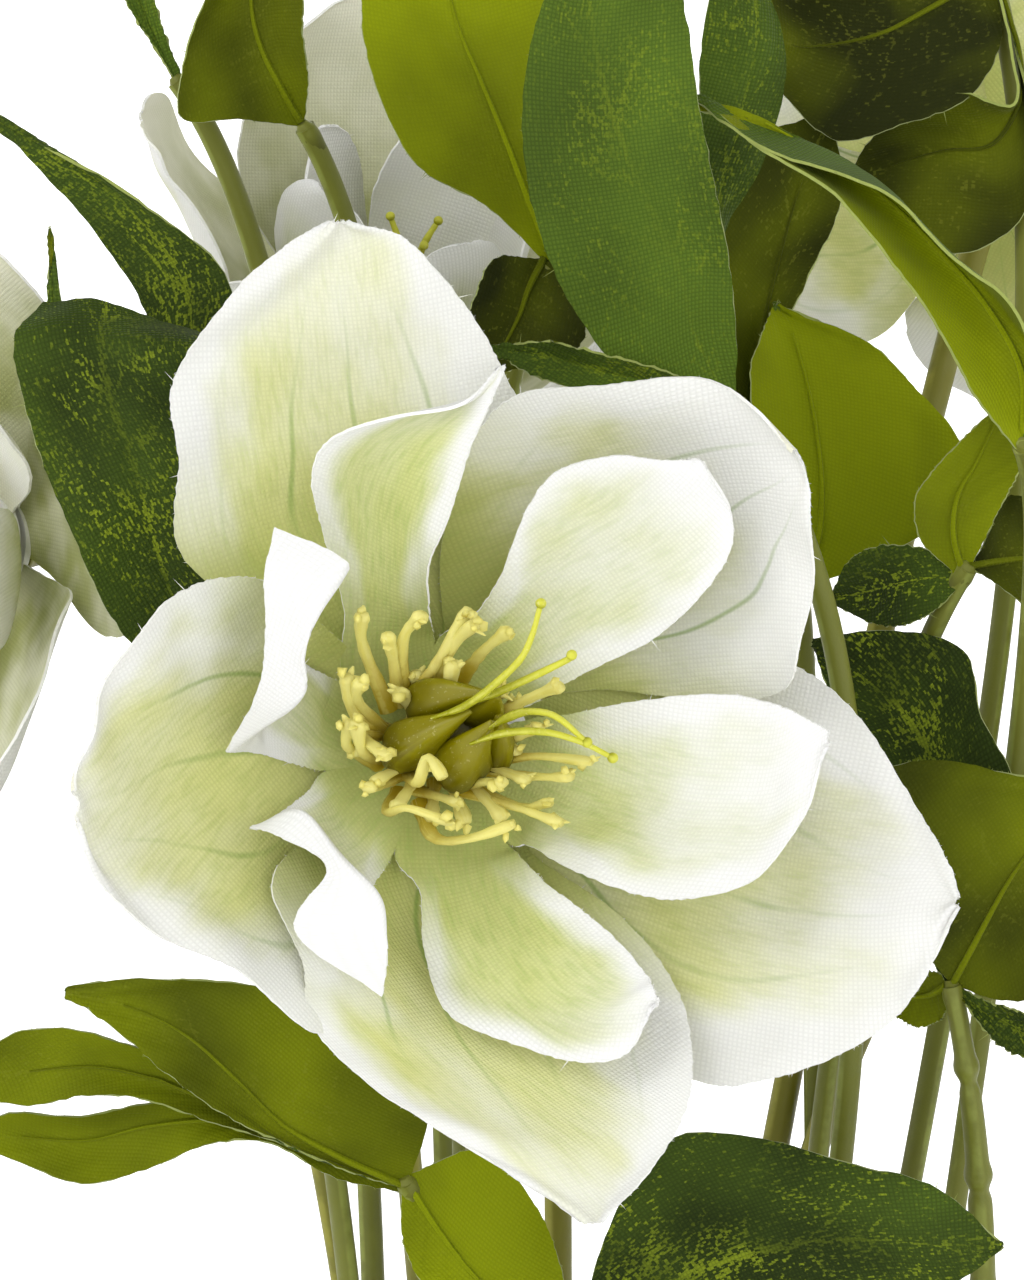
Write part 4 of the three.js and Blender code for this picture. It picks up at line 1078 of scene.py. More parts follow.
def stem_path(foot, end, arriving, reach, count):
    """The line of a stem from its foot in the soil, upright at first, to an end that it reaches along a
    direction."""
    x, y = foot
    a, b = np.array([x, y, STEM_FOOT], float), np.array([x, y, SOIL_TOP + UPRIGHT], float)
    d = np.asarray(end, float)
    c = d - np.asarray(arriving) * reach
    u = np.linspace(0, 1, count)[:, None]
    return a * (1 - u) ** 3 + 3 * b * u * (1 - u) ** 2 + 3 * c * u**2 * (1 - u) + d * u**3


def lay_rings(skin, rings, end, along_it, sides, place=0):
    """Close a short turned piece at a stem's end, from rings as (how far below the end, radius)."""
    path = np.array([end - along_it * below for below, _ in rings])
    lay_tube(skin, path, [radius for _, radius in rings], sides, place=place)


def build_flower_stems(kit, materials):
    """Make the stem of each bloom, with the moulded cap that holds the cloth."""
    for name, bloom in BLOOMS.items():
        skin = Skin()
        draw = np.random.default_rng(500 + bloom["seed"])
        facing = bloom_axes(bloom)[2]
        end = np.array(bloom["centre"]) - facing * 0.6
        path = stem_path(bloom["foot"], end, facing, bloom.get("reach", 46), 90)
        far = lengths(path)
        radii = kit.flower_stem / MM * (1 + 0.03 * np.sin(far / 9.0 + draw.uniform(0, 6)))
        lay_tube(skin, path, radii, 20, ridge=(2, 0.09), twist=draw.uniform(0, 3))
        lay_rings(skin, CAP, end, facing, 24)
        skin.build(f"flower_stem_{name}", materials, [f"flower_stem_{name}"], crease=60)


# ---- Leaves --------------------------------------------------------------------------------------

LEAF_CUT = {"waist": 0.2, "blunt": 2.2, "point": 0.9}


def drawn(*lines, **look):
    """Describe a leaflet by lines from its root to its tip, side by side."""
    return {"lines": lines, **look}


# A spray is a leaf stem with leaflets at its end, which it reaches along arriving, or outwards and up. A
# leaflet is drawn as lines, or follows the common rule. Side is the one that it turns to the viewer, and tone
# is from dark to light green: partly the leaf's own colour and partly painted light and shade, so that a
# leaflet that sits in shade gets a low tone and one in the light a high one. Knots are how far down a stem
# its joints are.
SPRAYS = {
    "top": {
        "foot": (12, -21),
        "end": (18, -46, 317),
        "arriving": (-0.55, -0.1, 0.8),
        "reach": 58,
        "leaflets": [
            drawn(
                [(28.5, 32.5), (20, 34.5), (14, 41), (10, 49), (8, 57.5), (8, 66.5), (10.5, 75), (15.5, 82)],
                [
                    (29, 33), (25.5, 39.5), (23.5, 47), (20.5, 53.5), (17.5, 60.5), (15.5, 67.5), (14.5, 75),
                    (15.5, 82),
                ],
                [
                    (29.5, 33.5), (29.5, 41), (28.5, 48.5), (27, 56), (25.5, 63.5), (24.5, 71), (22.5, 78),
                    (16, 82),
                ],
                depth=(-11.2, -8.7), out=(-1.5, 0, 1.5), bow=2, side=FACE, tone=0.8,
            ),
            drawn(
                [(29, 33), (26, 40.5), (25.5, 48), (26, 56), (26, 64), (26.5, 72), (28, 80), (30, 87.5)],
                [
                    (29, 33), (27.5, 40.5), (27.5, 48.5), (28.5, 56), (30.5, 63.5), (32, 71.5), (31.5, 79.5),
                    (30, 87.5),
                ],
                [
                    (29, 33), (28, 41), (28, 49), (31.5, 56), (34.5, 63.5), (35, 71.5), (32.5, 79.5),
                    (30, 87.5),
                ],
                depth=(-11.2, -23.5), out=(1, 0, -2), bow=-2, side=FACE, tone=0.55,
            ),
            drawn(
                [(28.5, 32.5), (23.5, 32.5), (18.5, 33.5), (13.5, 34.5), (8.5, 36), (4, 38.5)],
                [(29, 33), (24, 34), (19, 35.5), (14.5, 36.5), (9.5, 38), (4.5, 38.5)],
                [(29, 33.5), (24.5, 35.5), (19.5, 37), (14.5, 38), (9.5, 39), (4.5, 39)],
                depth=(-11.2, -8.7), out=(0.5, 0, 1.5), bow=0, side=FACE, tone=0.45,
            ),
        ],
    },
    "upper_middle": {
        "foot": (-7, -18),
        "end": (-1, -25, 330),
        "leaflets": [
            drawn(
                [(10, 49), (4, 54.5), (-3, 58.5), (-7, 65.5), (-9, 73.5), (-8, 81.5), (-2, 86.5)],
                [(11, 49), (8.5, 55), (6, 61.5), (3.5, 67.5), (1, 73.5), (-0.5, 80), (-1, 86.5)],
                [(12, 49.5), (13.5, 56.5), (14, 63.5), (12.5, 70.5), (10, 77), (6, 83), (0, 86.5)],
                depth=(-30.9, -29.5), out=(2, 0, 1.5), bow=1, side=BACK, tone=0.8,
            ),
            # Its low tone is partly painted shade: this leaflet fills a dark patch that lies in shadow behind
            # the bloom.
            drawn(
                [(9.5, 49), (5, 49), (3, 45.5), (2, 41), (4.5, 37.5)],
                [(10, 49), (8.5, 46), (7.5, 43), (6, 40), (4.5, 37.5)],
                [(11, 49), (14, 44.5), (14, 40), (10, 38), (5, 37)],
                depth=(-30.9, -26.9), out=(1, 0, 1), bow=1, side=BACK, tone=0.1,
            ),
        ],
    },
    "upper_left": {
        "foot": (-12, -1),
        "end": (-27, -13, 345),
        "leaflets": [
            drawn(
                [(-16, 64), (-22.5, 64.5), (-28.5, 64.5), (-28, 71), (-26, 77), (-23, 83), (-20.5, 89)],
                [(-16, 64.5), (-18, 68), (-20, 72), (-21, 76), (-21, 80.5), (-21, 85), (-20, 89)],
                [(-15.5, 64.5), (-15, 69), (-15.5, 73), (-15.5, 77.5), (-16, 82), (-17, 86), (-20, 89)],
                depth=(-41.6, -39.3), out=(2, 0, 2.5), bow=2, side=BACK, tone=0.4,
            ),
        ],
    },
    "far_upper_left": {
        "foot": (-19, -2),
        "end": (-41, -6, 350),
        "leaflets": [
            drawn(
                [(-29.5, 69), (-32.5, 74), (-35.5, 79), (-37, 84.5), (-37.5, 90)],
                [(-29.5, 69.5), (-32, 74.5), (-34, 79.5), (-36, 85), (-37.5, 90)],
                [(-29, 70), (-31, 75), (-32.5, 80), (-35, 85), (-37.5, 90)],
                depth=(-48.1, -46.3), out=(0.5, 0, 0.5), bow=1, side=FACE, tone=0.9,
            ),
        ],
    },
    "right_high": {
        "foot": (30, -12),
        "end": (47, -50, 313),
        "arriving": (-0.3, -1, 0.5),
        "leaflets": [
            drawn(
                [
                    (58, 28), (53.5, 33.5), (50, 39.5), (46, 45.5), (41.5, 51), (36.5, 56), (30.5, 60),
                    (25, 63.5),
                ],
                [
                    (58.5, 29.5), (56, 36), (53, 42.5), (48.5, 48), (43.5, 53), (37.5, 57.5), (31.5, 61),
                    (25, 64),
                ],
                [
                    (58.5, 29.5), (60, 36.5), (56, 43), (51, 48.5), (45.5, 54), (39, 58.5), (32.5, 62),
                    (25, 64.5),
                ],
                [
                    (58.5, 29), (59.5, 36), (56.5, 43), (50.5, 48), (45, 53), (38.5, 56.5), (31, 59.5),
                    (25, 64),
                ],
                depth=(-7.5, -12.4), out=(5, 0, 0, 6), bow=2, side=BACK, tone=1.0,
            ),
        ],
    },
    "right_back": {
        "foot": (30, 10),
        "end": (26, -15, 296),
        "leaflets": [
            drawn(
                [(37.5, 15.5), (35.5, 20), (33.8, 26), (32.8, 32), (32.5, 38), (33.5, 42), (35.2, 45.3)],
                [(37.5, 15), (39.5, 19.5), (40, 25), (39.5, 31), (38.5, 36.5), (37, 41.5), (35.2, 45.3)],
                [(38, 14.5), (45.5, 17.5), (52.5, 22), (55, 29.5), (50, 36), (45, 41), (35.5, 45)],
                depth=(-43.9, -47.4), out=(2, 0, 2), bow=1, side=BACK, tone=1,
            ),
            drawn(
                [(37, 15), (33, 24), (31, 33.5), (30, 43.5), (29.5, 53), (32.5, 62.5), (41, 66.5)],
                [(37.5, 15), (34.5, 23.5), (33, 32), (33.5, 41), (35.5, 49.5), (38, 58.5), (41.5, 66.5)],
                [(38, 15), (36, 23.5), (34, 32.5), (35.5, 41), (39.5, 49.5), (42.5, 57.5), (41.5, 66.5)],
                depth=(-43.9, -50.4), out=(1, 0, 1), bow=-2, side=BACK, tone=0.15,
            ),
        ],
    },
    "right_top": {
        "foot": (19, -5),
        "end": (46, -12, 363),
        "arriving": (-0.3, 0, 0.95),
        "reach": 62,
        "leaflets": [
            drawn(
                [(57.5, 81), (59, 73.5), (55.5, 67), (48.5, 64), (41.5, 62.5), (36, 67.5), (33, 75)],
                [(57.5, 82), (54.5, 78.5), (50.5, 76), (46.5, 74), (42, 73), (37.5, 73), (33, 75)],
                [(57, 82.5), (52, 84), (47.5, 85), (42.5, 84.5), (38.5, 82.5), (35, 79.5), (33, 75)],
                depth=(-41, -48.6), out=(2, 0, 2), bow=3, side=BACK, tone=0.1,
            ),
            drawn(
                [
                    (57.5, 82), (59, 76.5), (60, 71), (60, 66), (54.5, 67.5), (49.5, 66), (45, 62.5),
                    (42.5, 57.5),
                ],
                [
                    (57.5, 82), (59, 77), (60.5, 71.5), (60.5, 66), (58, 62), (53, 61.5), (47.5, 60),
                    (42.5, 57.5),
                ],
                [
                    (57.5, 82), (59.5, 75), (61.5, 68), (62, 61), (61, 54), (55, 50.5), (48.5, 53),
                    (42.5, 57.5),
                ],
                depth=(-41, -50.2), out=(3, 0, 1), bow=4, side=BACK, tone=0.05,
            ),
            dict(tip=(56, -14, 380), face=(0.2, -0.9, 0.3), half=8, bow=3, tone=0.3),
        ],
    },
    "right_middle": {
        "foot": (24, -14),
        "end": (43, -30, 299),
        "leaflets": [
            drawn(
                [(53, 16), (49.5, 19.5), (49, 24), (52, 28), (55.5, 31.5), (59.5, 35)],
                [(54, 16), (53, 20), (53.5, 24), (55.5, 27.5), (57.5, 31.5), (59.5, 35)],
                [(54.5, 16), (56.5, 20), (58.5, 24), (60.5, 27.5), (61.5, 31.5), (59.5, 35)],
                depth=(-28.7, -33.1), out=(1.5, 0, 1.5), bow=1, side=BACK, tone=0.55,
            ),
            drawn(
                [(54, 16.5), (50.5, 18.5), (46, 19), (42.5, 17.5), (40.5, 13.5)],
                [(54, 15.5), (51, 15.5), (47.5, 15), (44, 14), (40.5, 13.5)],
                [(54, 15), (51, 12), (47.5, 10.5), (44, 11), (40.5, 13)],
                depth=(-28.7, -37), out=(1, 0, 1), bow=1, side=FACE, tone=0.15,
            ),
            dict(tip=(56, -23, 299), face=(-0.1, -0.9, 0.4), half=7, bow=2, tone=0.15),
        ],
    },
    "right_low": {
        "foot": (42, -17),
        "end": (41, -38, 256),
        "arriving": (-0.22, -0.1, 0.97),
        "knots": (9, 21, 34),
        "leaflets": [
            drawn(
                [
                    (52.5, -27.5), (49.5, -23), (47, -18), (46, -12.5), (44, -7), (42, -2), (40, 3.5),
                    (38.5, 8.5),
                ],
                [
                    (53, -27.5), (53.5, -21.5), (53.5, -15.5), (52.5, -9.5), (51, -4), (48, 1), (43.5, 5),
                    (38.5, 8.5),
                ],
                [
                    (53.5, -27), (57.5, -20.5), (59.5, -13), (59, -5.5), (55.5, 1.5), (54, 8), (46.5, 10),
                    (38.5, 9),
                ],
                depth=(-24.4, -33.3), out=(1.5, 0, 1.5), bow=1, side=FACE, tone=0.1,
            ),
            drawn(
                [(52.5, -27), (47.5, -20.5), (45, -12.5), (45, -5), (51, -3.5), (59, -5), (67, -6)],
                [(52.5, -27), (54.5, -23), (56.5, -19), (58.5, -15.5), (61, -12), (64, -9), (67, -6)],
                [(53, -27), (58, -28.5), (63.5, -27.5), (66.5, -23), (67, -17.5), (67.5, -11.5), (67, -6)],
                depth=(-24.4, -21.6), out=(2.5, 0, 1), bow=2, side=BACK, tone=0.4,
            ),
            drawn(
                [(52, -26), (49.5, -25.5), (48, -27), (46.5, -29.5)],
                [(52, -27), (50.5, -28), (48.5, -28.5), (46.5, -29.5)],
                [(52.5, -28), (51.5, -30.5), (49, -31.5), (46.5, -30)],
                depth=(-24.4, -28.7), out=(0.5, 0, 0.5), bow=0, side=BACK, tone=0.4,
            ),
            drawn(
                [(53, -27), (56, -28.5), (59.5, -29.5), (62.5, -31.5), (64, -34.5)],
                [(53, -27.5), (55.5, -29.5), (58.5, -31), (61.5, -33), (64, -35)],
                [(53, -27.5), (55, -30.5), (57.5, -33), (60.5, -34.5), (64, -35)],
                depth=(-24.4, -23.1), out=(1, 0, 1), bow=1, side=FACE, tone=0.35,
            ),
        ],
    },
    "left_high": {
        "foot": (-16, -14),
        "end": (-35, -54, 289),
        "arriving": (-0.3, -0.8, 0.6),
        "leaflets": [
            drawn(
                [
                    (-26, 5), (-31.5, 8.5), (-35, 14), (-37.5, 20), (-40, 26), (-42, 32.5), (-43, 39),
                    (-40.5, 43),
                ],
                [
                    (-25, 5), (-26.5, 10.5), (-28.5, 16.5), (-30, 22), (-31.5, 27.5), (-33.5, 33.5),
                    (-34.5, 39), (-34, 43),
                ],
                [
                    (-24.5, 6), (-23.5, 11.5), (-23, 16.5), (-22, 22), (-21.5, 27), (-22, 32.5),
                    (-22.5, 37.5), (-25, 40),
                ],
                depth=(-5.6, 1.8), out=(1, 0, 1.5), bow=1, side=FACE, tone=0.2, hook=-5,
            ),
            drawn(
                [
                    (-25.5, 5), (-27.5, 14), (-29, 23.5), (-30, 32.5), (-30.5, 42), (-35.5, 50), (-41.5, 57),
                    (-48, 63.5),
                ],
                [
                    (-25, 5), (-25.5, 15), (-25.5, 24.5), (-26, 34.5), (-26.5, 44.5), (-32, 52.5),
                    (-39.5, 58.5), (-48, 63.5),
                ],
                [
                    (-24.5, 5), (-23.5, 15.5), (-22, 25.5), (-21.5, 36), (-22.5, 46), (-30.5, 53),
                    (-39, 58.5), (-48, 63.5),
                ],
                depth=(-5.6, -6.6), out=(-1, 0, 1), bow=-5, side=FACE, tone=0.35,
            ),
            drawn(
                [(-25.5, 5), (-31, 16), (-36, 27), (-40, 38.5), (-40, 50.5)],
                [(-25, 5), (-30.5, 16), (-35, 27), (-39, 38.5), (-40, 50.5)],
                [(-24.5, 5), (-29.5, 16), (-34.5, 27), (-38, 38.5), (-40, 50.5)],
                depth=(-5.6, -5.5), out=(0, 0, 0), bow=-2, side=FACE, tone=0.4,
            ),
        ],
    },
    "left_low": {
        "foot": (-9, -27),
        "end": (-16, -36, 235),
        "leaflets": [
            drawn(
                [
                    (-5, -48.5), (-11.5, -46), (-17.5, -43), (-23.5, -40), (-29, -36), (-34, -31.5),
                    (-39.5, -28),
                ],
                [(-5, -48), (-11, -45), (-17, -41.5), (-22, -36.5), (-27, -32), (-33, -29), (-39.5, -27.5)],
                [(-4, -47.5), (-2, -39), (-7.5, -32.5), (-14, -28), (-22.5, -26.5), (-31, -26), (-39.5, -27)],
                depth=(-28.3, -21), out=(1, 0, 1.5), bow=3, side=BACK, tone=0.5,
            ),
            drawn(
                [
                    (-5, -48.5), (-11.5, -46), (-18, -43.5), (-24.5, -41.5), (-31, -39), (-37.5, -38.5),
                    (-44, -39.5), (-50.5, -38),
                ],
                [
                    (-5, -48), (-11, -45), (-17.5, -42), (-24, -39.5), (-30.5, -37), (-37, -35.5), (-44, -36),
                    (-50.5, -37.5),
                ],
                [
                    (-5, -47.5), (-11, -42.5), (-17, -38.5), (-24.5, -36.5), (-31.5, -34), (-38.5, -31.5),
                    (-45.5, -32), (-50.5, -37),
                ],
                depth=(-28.8, -23), out=(1, 0, 1.5), bow=-0.5, side=BACK, tone=0.45,
            ),
            drawn(
                [
                    (-5, -49), (-12, -47.5), (-18.5, -44), (-25, -44), (-31.5, -46.5), (-38.5, -48),
                    (-45, -45.5), (-51.5, -43),
                ],
                [
                    (-5, -48), (-11.5, -45), (-18, -43), (-24.5, -41.5), (-31.5, -42), (-38, -43.5),
                    (-45, -43), (-51.5, -42.5),
                ],
                [
                    (-5, -47.5), (-11, -44), (-17.5, -41), (-24.5, -39.5), (-31.5, -39.5), (-38.5, -41),
                    (-45.5, -40.5), (-51.5, -42),
                ],
                depth=(-29.3, -25), out=(1, 0, 1.5), bow=-2.5, side=BACK, tone=0.6,
            ),
            drawn(
                [(-5, -48), (-4.5, -55), (-0.5, -61), (6, -65), (13.5, -65.5)],
                [(-4.5, -47.5), (-1, -53), (3, -58), (8, -62), (13.5, -65.5)],
                [(-4, -47), (3.5, -44.5), (9, -50), (12, -57.5), (13.5, -65.5)],
                depth=(-28.3, -28.8), out=(1, 0, 1), bow=-1, side=BACK, tone=0.9,
            ),
        ],
    },
    "front_low": {
        "foot": (5, -29),
        "end": (1, -46, 216),
        "leaflets": [
            drawn(
                [
                    (12.5, -67.5), (14.5, -58.5), (17.5, -49.5), (23, -42), (32, -42), (41, -44.5), (50, -47),
                    (57, -53),
                ],
                [
                    (12.5, -67.5), (17, -61.5), (22.5, -57.5), (29, -54.5), (36, -53), (43, -52.5), (50, -53),
                    (57, -53),
                ],
                [
                    (12.5, -67.5), (19.5, -67.5), (26, -66.5), (33, -65.5), (39.5, -64), (46, -61),
                    (51.5, -57.5), (57, -53.5),
                ],
                depth=(-20, -14.7), out=(1, 0, -2), bow=3, side=FACE, tone=0.15,
            ),
            dict(tip=(-10, -84, 205), face=(0, -0.5, 0.8), half=11, bow=6, tone=0.4),
        ],
    },
}


def low_sprays():
    """The lower sprays, which spread all round over the pot."""
    sprays = {}
    for i, turn in enumerate((32, 88, 150, 208, 268, 325)):
        draw = seeded(40 + i)

        def about(angle, out, height, turn=turn):
            a = math.radians(turn + angle)
            return (math.sin(a) * out, -math.cos(a) * out, height)

        height = 154 + 9 * (i % 2)
        foot = about(spread(draw, 6), 33, 0)[:2]
        leaflets = []
        for side in (-1, 0, 1):
            tip = about(side * 27 + spread(draw, 3), 98 - 8 * abs(side), height - 12 + spread(draw, 8))
            half, bow, tone = 12 + spread(draw, 1), 10 + spread(draw, 2), 0.25 + 0.1 * (i % 3)
            leaflets.append(dict(tip=tip, face=(0, 0, 1), half=half, bow=bow, tone=tone))
        end = about(0, 46, height)
        sprays[f"low_{i + 1}"] = dict(foot=foot, end=end, reach=24, leaflets=leaflets)
    return sprays


def ruled_leaflet(root, leaflet, rows, columns):
    """Rows and columns of points of a leaflet of the common rule, from its root to its tip."""
    root, tip = np.asarray(root, float), np.asarray(leaflet["tip"], float)
    chord, facing = tip - root, unit(leaflet["face"])
    off = facing * leaflet["bow"]
    half = leaflet["half"]
    blade = {
        "spine": [root, root + chord * 0.33 + off, root + chord * 0.67 + off, tip],
        "face": leaflet["face"],
        "half": (half * 0.15, half * 1.25, half * 0.6),
        "fold": 8,
        "ripple": 0.7,
        "ripples": 2.5,
        "phase": (half * 0.37) % 1,
    }
    return blade_sheet(blade, LEAF_CUT, rows, columns)


def drawn_leaflet(leaflet, rows, columns):
    """Rows and columns of points of a leaflet that is drawn as lines, in the front bloom's frame. Depth is
    how near the viewer its root and tip are, out how far each line's middle stands off to the viewer, bow
    adds to them all, and hook bends the tip."""
    lines = np.asarray(leaflet["lines"], float)
    t = np.linspace(0, 1, lines.shape[1])
    near = leaflet["depth"][0] * (1 - t) + leaflet["depth"][1] * t
    swell = np.sin(math.pi * t) ** 0.8
    depth = near + (np.array(leaflet["out"])[:, None] + leaflet["bow"]) * swell
    depth[:, -1] += leaflet.get("hook", 0)
    grid = draw_out(np.concatenate([lines, depth[..., None]], axis=-1), rows, columns)
    to_viewer = normals(grid)[rows // 3 : 2 * rows // 3, :, 2].mean() > 0
    if to_viewer != (leaflet["side"] == FACE):
        grid = grid[:, ::-1]
    return in_bloom(BLOOMS["front"], grid)


def press_veins(grid, draw):
    """Press a midrib and side veins into a leaflet, and soften it."""
    rows, columns = grid.shape[:2]
    t, s = np.meshgrid(np.linspace(0, 1, rows), np.linspace(-1, 1, columns), indexing="ij")
    gap = np.abs(((7 * t - 1.5 * np.abs(s)) % 1) - 0.5) * 2
    midrib = 0.16 * (1 - ease(np.abs(s), 0.0, 0.14))
    laterals = 0.1 * (1 - ease(1 - gap, 0.0, 0.5)) * ease(np.abs(s), 0.02, 0.2)
    grid = grid - normals(grid) * ((midrib + laterals) * ease(t, 0.05, 0.2))[..., None]
    return soften(grid, draw, 15, 0.3)


def knotted(path, radius, knots):
    """Thicken a stem downwards, with a ring and a neck under it at each knot."""
    path = through(path, np.linspace(0, 1, 320))
    down = lengths(path)[-1] - lengths(path)
    radii = radius * (1 + 0.25 * ease(down, 0, 30))
    for knot in knots:
        ring, neck = (down - knot) / 0.9, (down - knot - 1.7) / 0.8
        radii = radii + 0.3 * np.exp(-(ring**2)) - 0.3 * np.exp(-(neck**2))
    return path, radii


def build_leaves(kit, stems, materials):
    """Make each leaf stem with its leaflets. The stem is the fourth material."""
    for number, (name, spray) in enumerate({**SPRAYS, **low_sprays()}.items()):
        skin = Skin()
        draw = np.random.default_rng(600 + number)
        low = name.startswith("low")
        root = np.array(spray["end"], float)
        outward = unit(root - np.array([*spray["foot"], root[2]]))
        arriving = unit(spray.get("arriving", outward + np.array([0, 0, 1.3])))
        path = stem_path(spray["foot"], root, arriving, spray.get("reach", 40), 60 if low else 80)
        radii = stems.leaf_stem / MM * np.linspace(1.12, 0.92, len(path))
        if "knots" in spray:
            path, radii = knotted(path, stems.leaf_stem / MM, spray["knots"])
        lay_tube(skin, path, radii, 14, place=STEM, ridge=(2, 0.1), twist=draw.uniform(0, 3))
        lay_rings(skin, COLLAR, root, arriving, 16, place=STEM)
        for leaflet in spray["leaflets"]:
            rows, columns = (36, 17) if low else (60, 27)
            if "lines" in leaflet:
                grid = drawn_leaflet(leaflet, rows, columns)
            else:
                grid = ruled_leaflet(root, leaflet, rows, columns)
            grid = press_veins(grid, draw)
            turn = draw.uniform(-0.4, 0.4)
            loose = 20 if low else 50
            lay_sheet(skin, grid, kit.sheet / MM, draw, leaflet["tone"], turn, ragged=0.1, fringe=loose)
            middle = slice(0, int(rows * 0.85)), columns // 2
            radii = np.linspace(0.42, 0.1, middle[0].stop)
            off = (kit.sheet / MM / 2 + 0.3 * radii)[:, None]
            rib = grid[middle] - normals(grid)[middle] * off
            lay_tube(skin, rib, radii, 7, place=BACK, tone=leaflet["tone"] + 0.2)
        skin.build(f"leaves_{name}", materials, [f"leaves_{name}"])


# ---- Pot and soil --------------------------------------------------------------------------------


def lathe_faces(profile, segments):
    """Turn a profile of (radius, height) round the pot's axis."""
    profile = np.asarray(profile, float)
    angle = np.linspace(0, 2 * math.pi, segments, endpoint=False)
    out, up = profile[:, :1], profile[:, 1:]
    ring = np.stack([out * np.cos(angle), out * np.sin(angle), up + 0 * angle], axis=-1)
    faces = quads(len(profile), segments, wrap=True)
    last = (len(profile) - 1) * segments
    return ring, faces + [list(range(segments))[::-1], list(range(last, last + segments))]


def rounded(corners, radius, steps=4):
    """Round the corners of a profile."""
    corners = [np.array(c, float) for c in corners]
    line = [corners[0]]
    for before, at, after in zip(corners, corners[1:], corners[2:]):
        cut = min(radius, np.linalg.norm(at - before) / 2.2, np.linalg.norm(after - at) / 2.2)
        a, b = at + unit(before - at) * cut, at + unit(after - at) * cut
        for u in np.linspace(0, 1, steps):
            line.append(a * (1 - u) ** 2 + 2 * at * u * (1 - u) + b * u**2)
    return np.array([*line, corners[-1]])


def build_pot(kit, materials):
    """Make the pot, with its turned-out rim, a foot ring and drain holes through its floor."""
    height, top, foot = kit.height / MM, kit.top_radius / MM, kit.foot_radius / MM
    wall, rim, step, floor = 3.0, 16.0, 3.5, 4.0
    shoulder = height - rim
    at_rim = foot + (top - foot) * shoulder / height
    corners = [
        (1.0, 1.2),
        (foot - 7, 1.2),
        (foot - 5.5, 0),
        (foot, 0),
        (at_rim, shoulder),
        (at_rim + step, shoulder),
        (top + step, height),
        (top + step - wall, height),
        (at_rim + step - wall, shoulder + wall),
        (at_rim - wall, shoulder),
        (foot - wall, floor),
        (1.0, floor),
    ]
    ring, faces = lathe_faces(rounded(corners, 1.2), 120)
    skin = Skin()
    skin.add(ring.reshape(-1, 3), faces, 0)
    pot = skin.build("pot", materials, ["pot"], crease=40)
    holes, hole_radius, out = 4, 5, 27
    for i in range(holes):
        angle = 2 * math.pi * (i + 0.5) / holes
        bpy.ops.mesh.primitive_cylinder_add(vertices=32, radius=hole_radius * MM, depth=3 * floor * MM)
        drill = bpy.context.object
        drill.location = (math.cos(angle) * out * MM, math.sin(angle) * out * MM, 0)
        cut = pot.modifiers.new("drain", "BOOLEAN")
        cut.operation, cut.object, cut.solver = "DIFFERENCE", drill, "EXACT"
        bpy.context.view_layer.objects.active = pot
        bpy.ops.object.modifier_apply(modifier=cut.name)
        bpy.data.objects.remove(drill)


def build_soil(kit, materials):
    """Make the filling: a domed, crumbly top over a plain body, and loose crumbs on it."""
    draw = np.random.default_rng(700)
    foot, top, height = (round(size / MM, 3) for size in (kit.foot_radius, kit.top_radius, kit.height))
    rise, gap, floor = 6, 3.4, 4.3
    bottom, brim = (foot + (top - foot) * level / height - gap for level in (floor, SOIL_TOP - rise))
    out = np.linspace(1, 0.004, 60)
    dome = np.stack([brim * out, SOIL_TOP - rise * out**2], axis=1)
    profile = np.concatenate([[(0.3, floor), (bottom, floor)], dome])
    ring, faces = lathe_faces(profile, 150)
    top_rows = ring[2:]
    x, y = top_rows[..., 0], top_rows[..., 1]
    rough = waves(x, y, 14, draw, 7) * 0.7 + waves(x, y, 5, draw, 9) * 0.45 + waves(x, y, 2.4, draw, 9) * 0.25
    fade = ease(np.hypot(x, y), brim, brim - 5)
    sunk = 0.8
    top_rows[..., 2] += rough * fade - sunk
    skin = Skin()
    skin.add(ring.reshape(-1, 3), faces, 0, tone=0.4)
    crumbs = 1500
    for _ in range(crumbs):
        far, angle = brim * 0.97 * draw.random() ** 0.5, draw.uniform(0, 2 * math.pi)
        size = draw.uniform(0.5, 1.5) if draw.random() < 0.85 else draw.uniform(1.5, 2.6)
        level = SOIL_TOP - rise * (far / brim) ** 2 - sunk + size * 0.3
        at = np.array([far * math.cos(angle), far * math.sin(angle), level])
        lay_lump(skin, at, size, draw, rough=0.35, tone=draw.random() ** 2)
    skin.build("soil", materials, ["soil"], crease=40)


# ---- Stage ---------------------------------------------------------------------------------------


def hang_lamp(name, size, energy, spot, aim):
    """Hang a square soft light, aimed at a point."""
    light = bpy.data.lights.new(name, "AREA")
    light.size, light.energy = size, energy
    holder = bpy.data.objects.new(name, light)
    holder.location = spot
    holder.rotation_euler = (Vector(aim) - Vector(spot)).to_track_quat("-Z", "Y").to_euler()
    bpy.context.scene.collection.objects.link(holder)


def lay_floor(kit):
    """Lay the paper floor, which curves up all round."""
    paper = studio_paper("studio_white_paper", tuple(kit.paper), kit.table)
    flat, bend, wall_top = 4.5, 1.5, 3.5
    turn = np.linspace(0.1, math.pi / 2, 12)
    out = [*np.linspace(0.0, flat, 20)[1:], *(flat + bend * np.sin(turn))]
    up = [*np.zeros(19), *(bend - bend * np.cos(turn))]
    profile = [*zip(out, up), (flat + bend, wall_top)]
    angle = np.linspace(0, 2 * math.pi, 72, endpoint=False)
    points = [(r * math.cos(a), r * math.sin(a), z) for r, z in profile for a in angle]
    mesh = bpy.data.meshes.new("studio_floor")
    mesh.from_pydata(points, [], quads(len(profile), len(angle), wrap=True) + [list(range(len(angle)))])
    mesh.polygons.foreach_set("use_smooth", np.ones(len(mesh.polygons), bool))
    mesh.materials.append(paper)
    floor = bpy.data.objects.new("studio_floor", mesh)
    bpy.context.scene.collection.objects.link(floor)


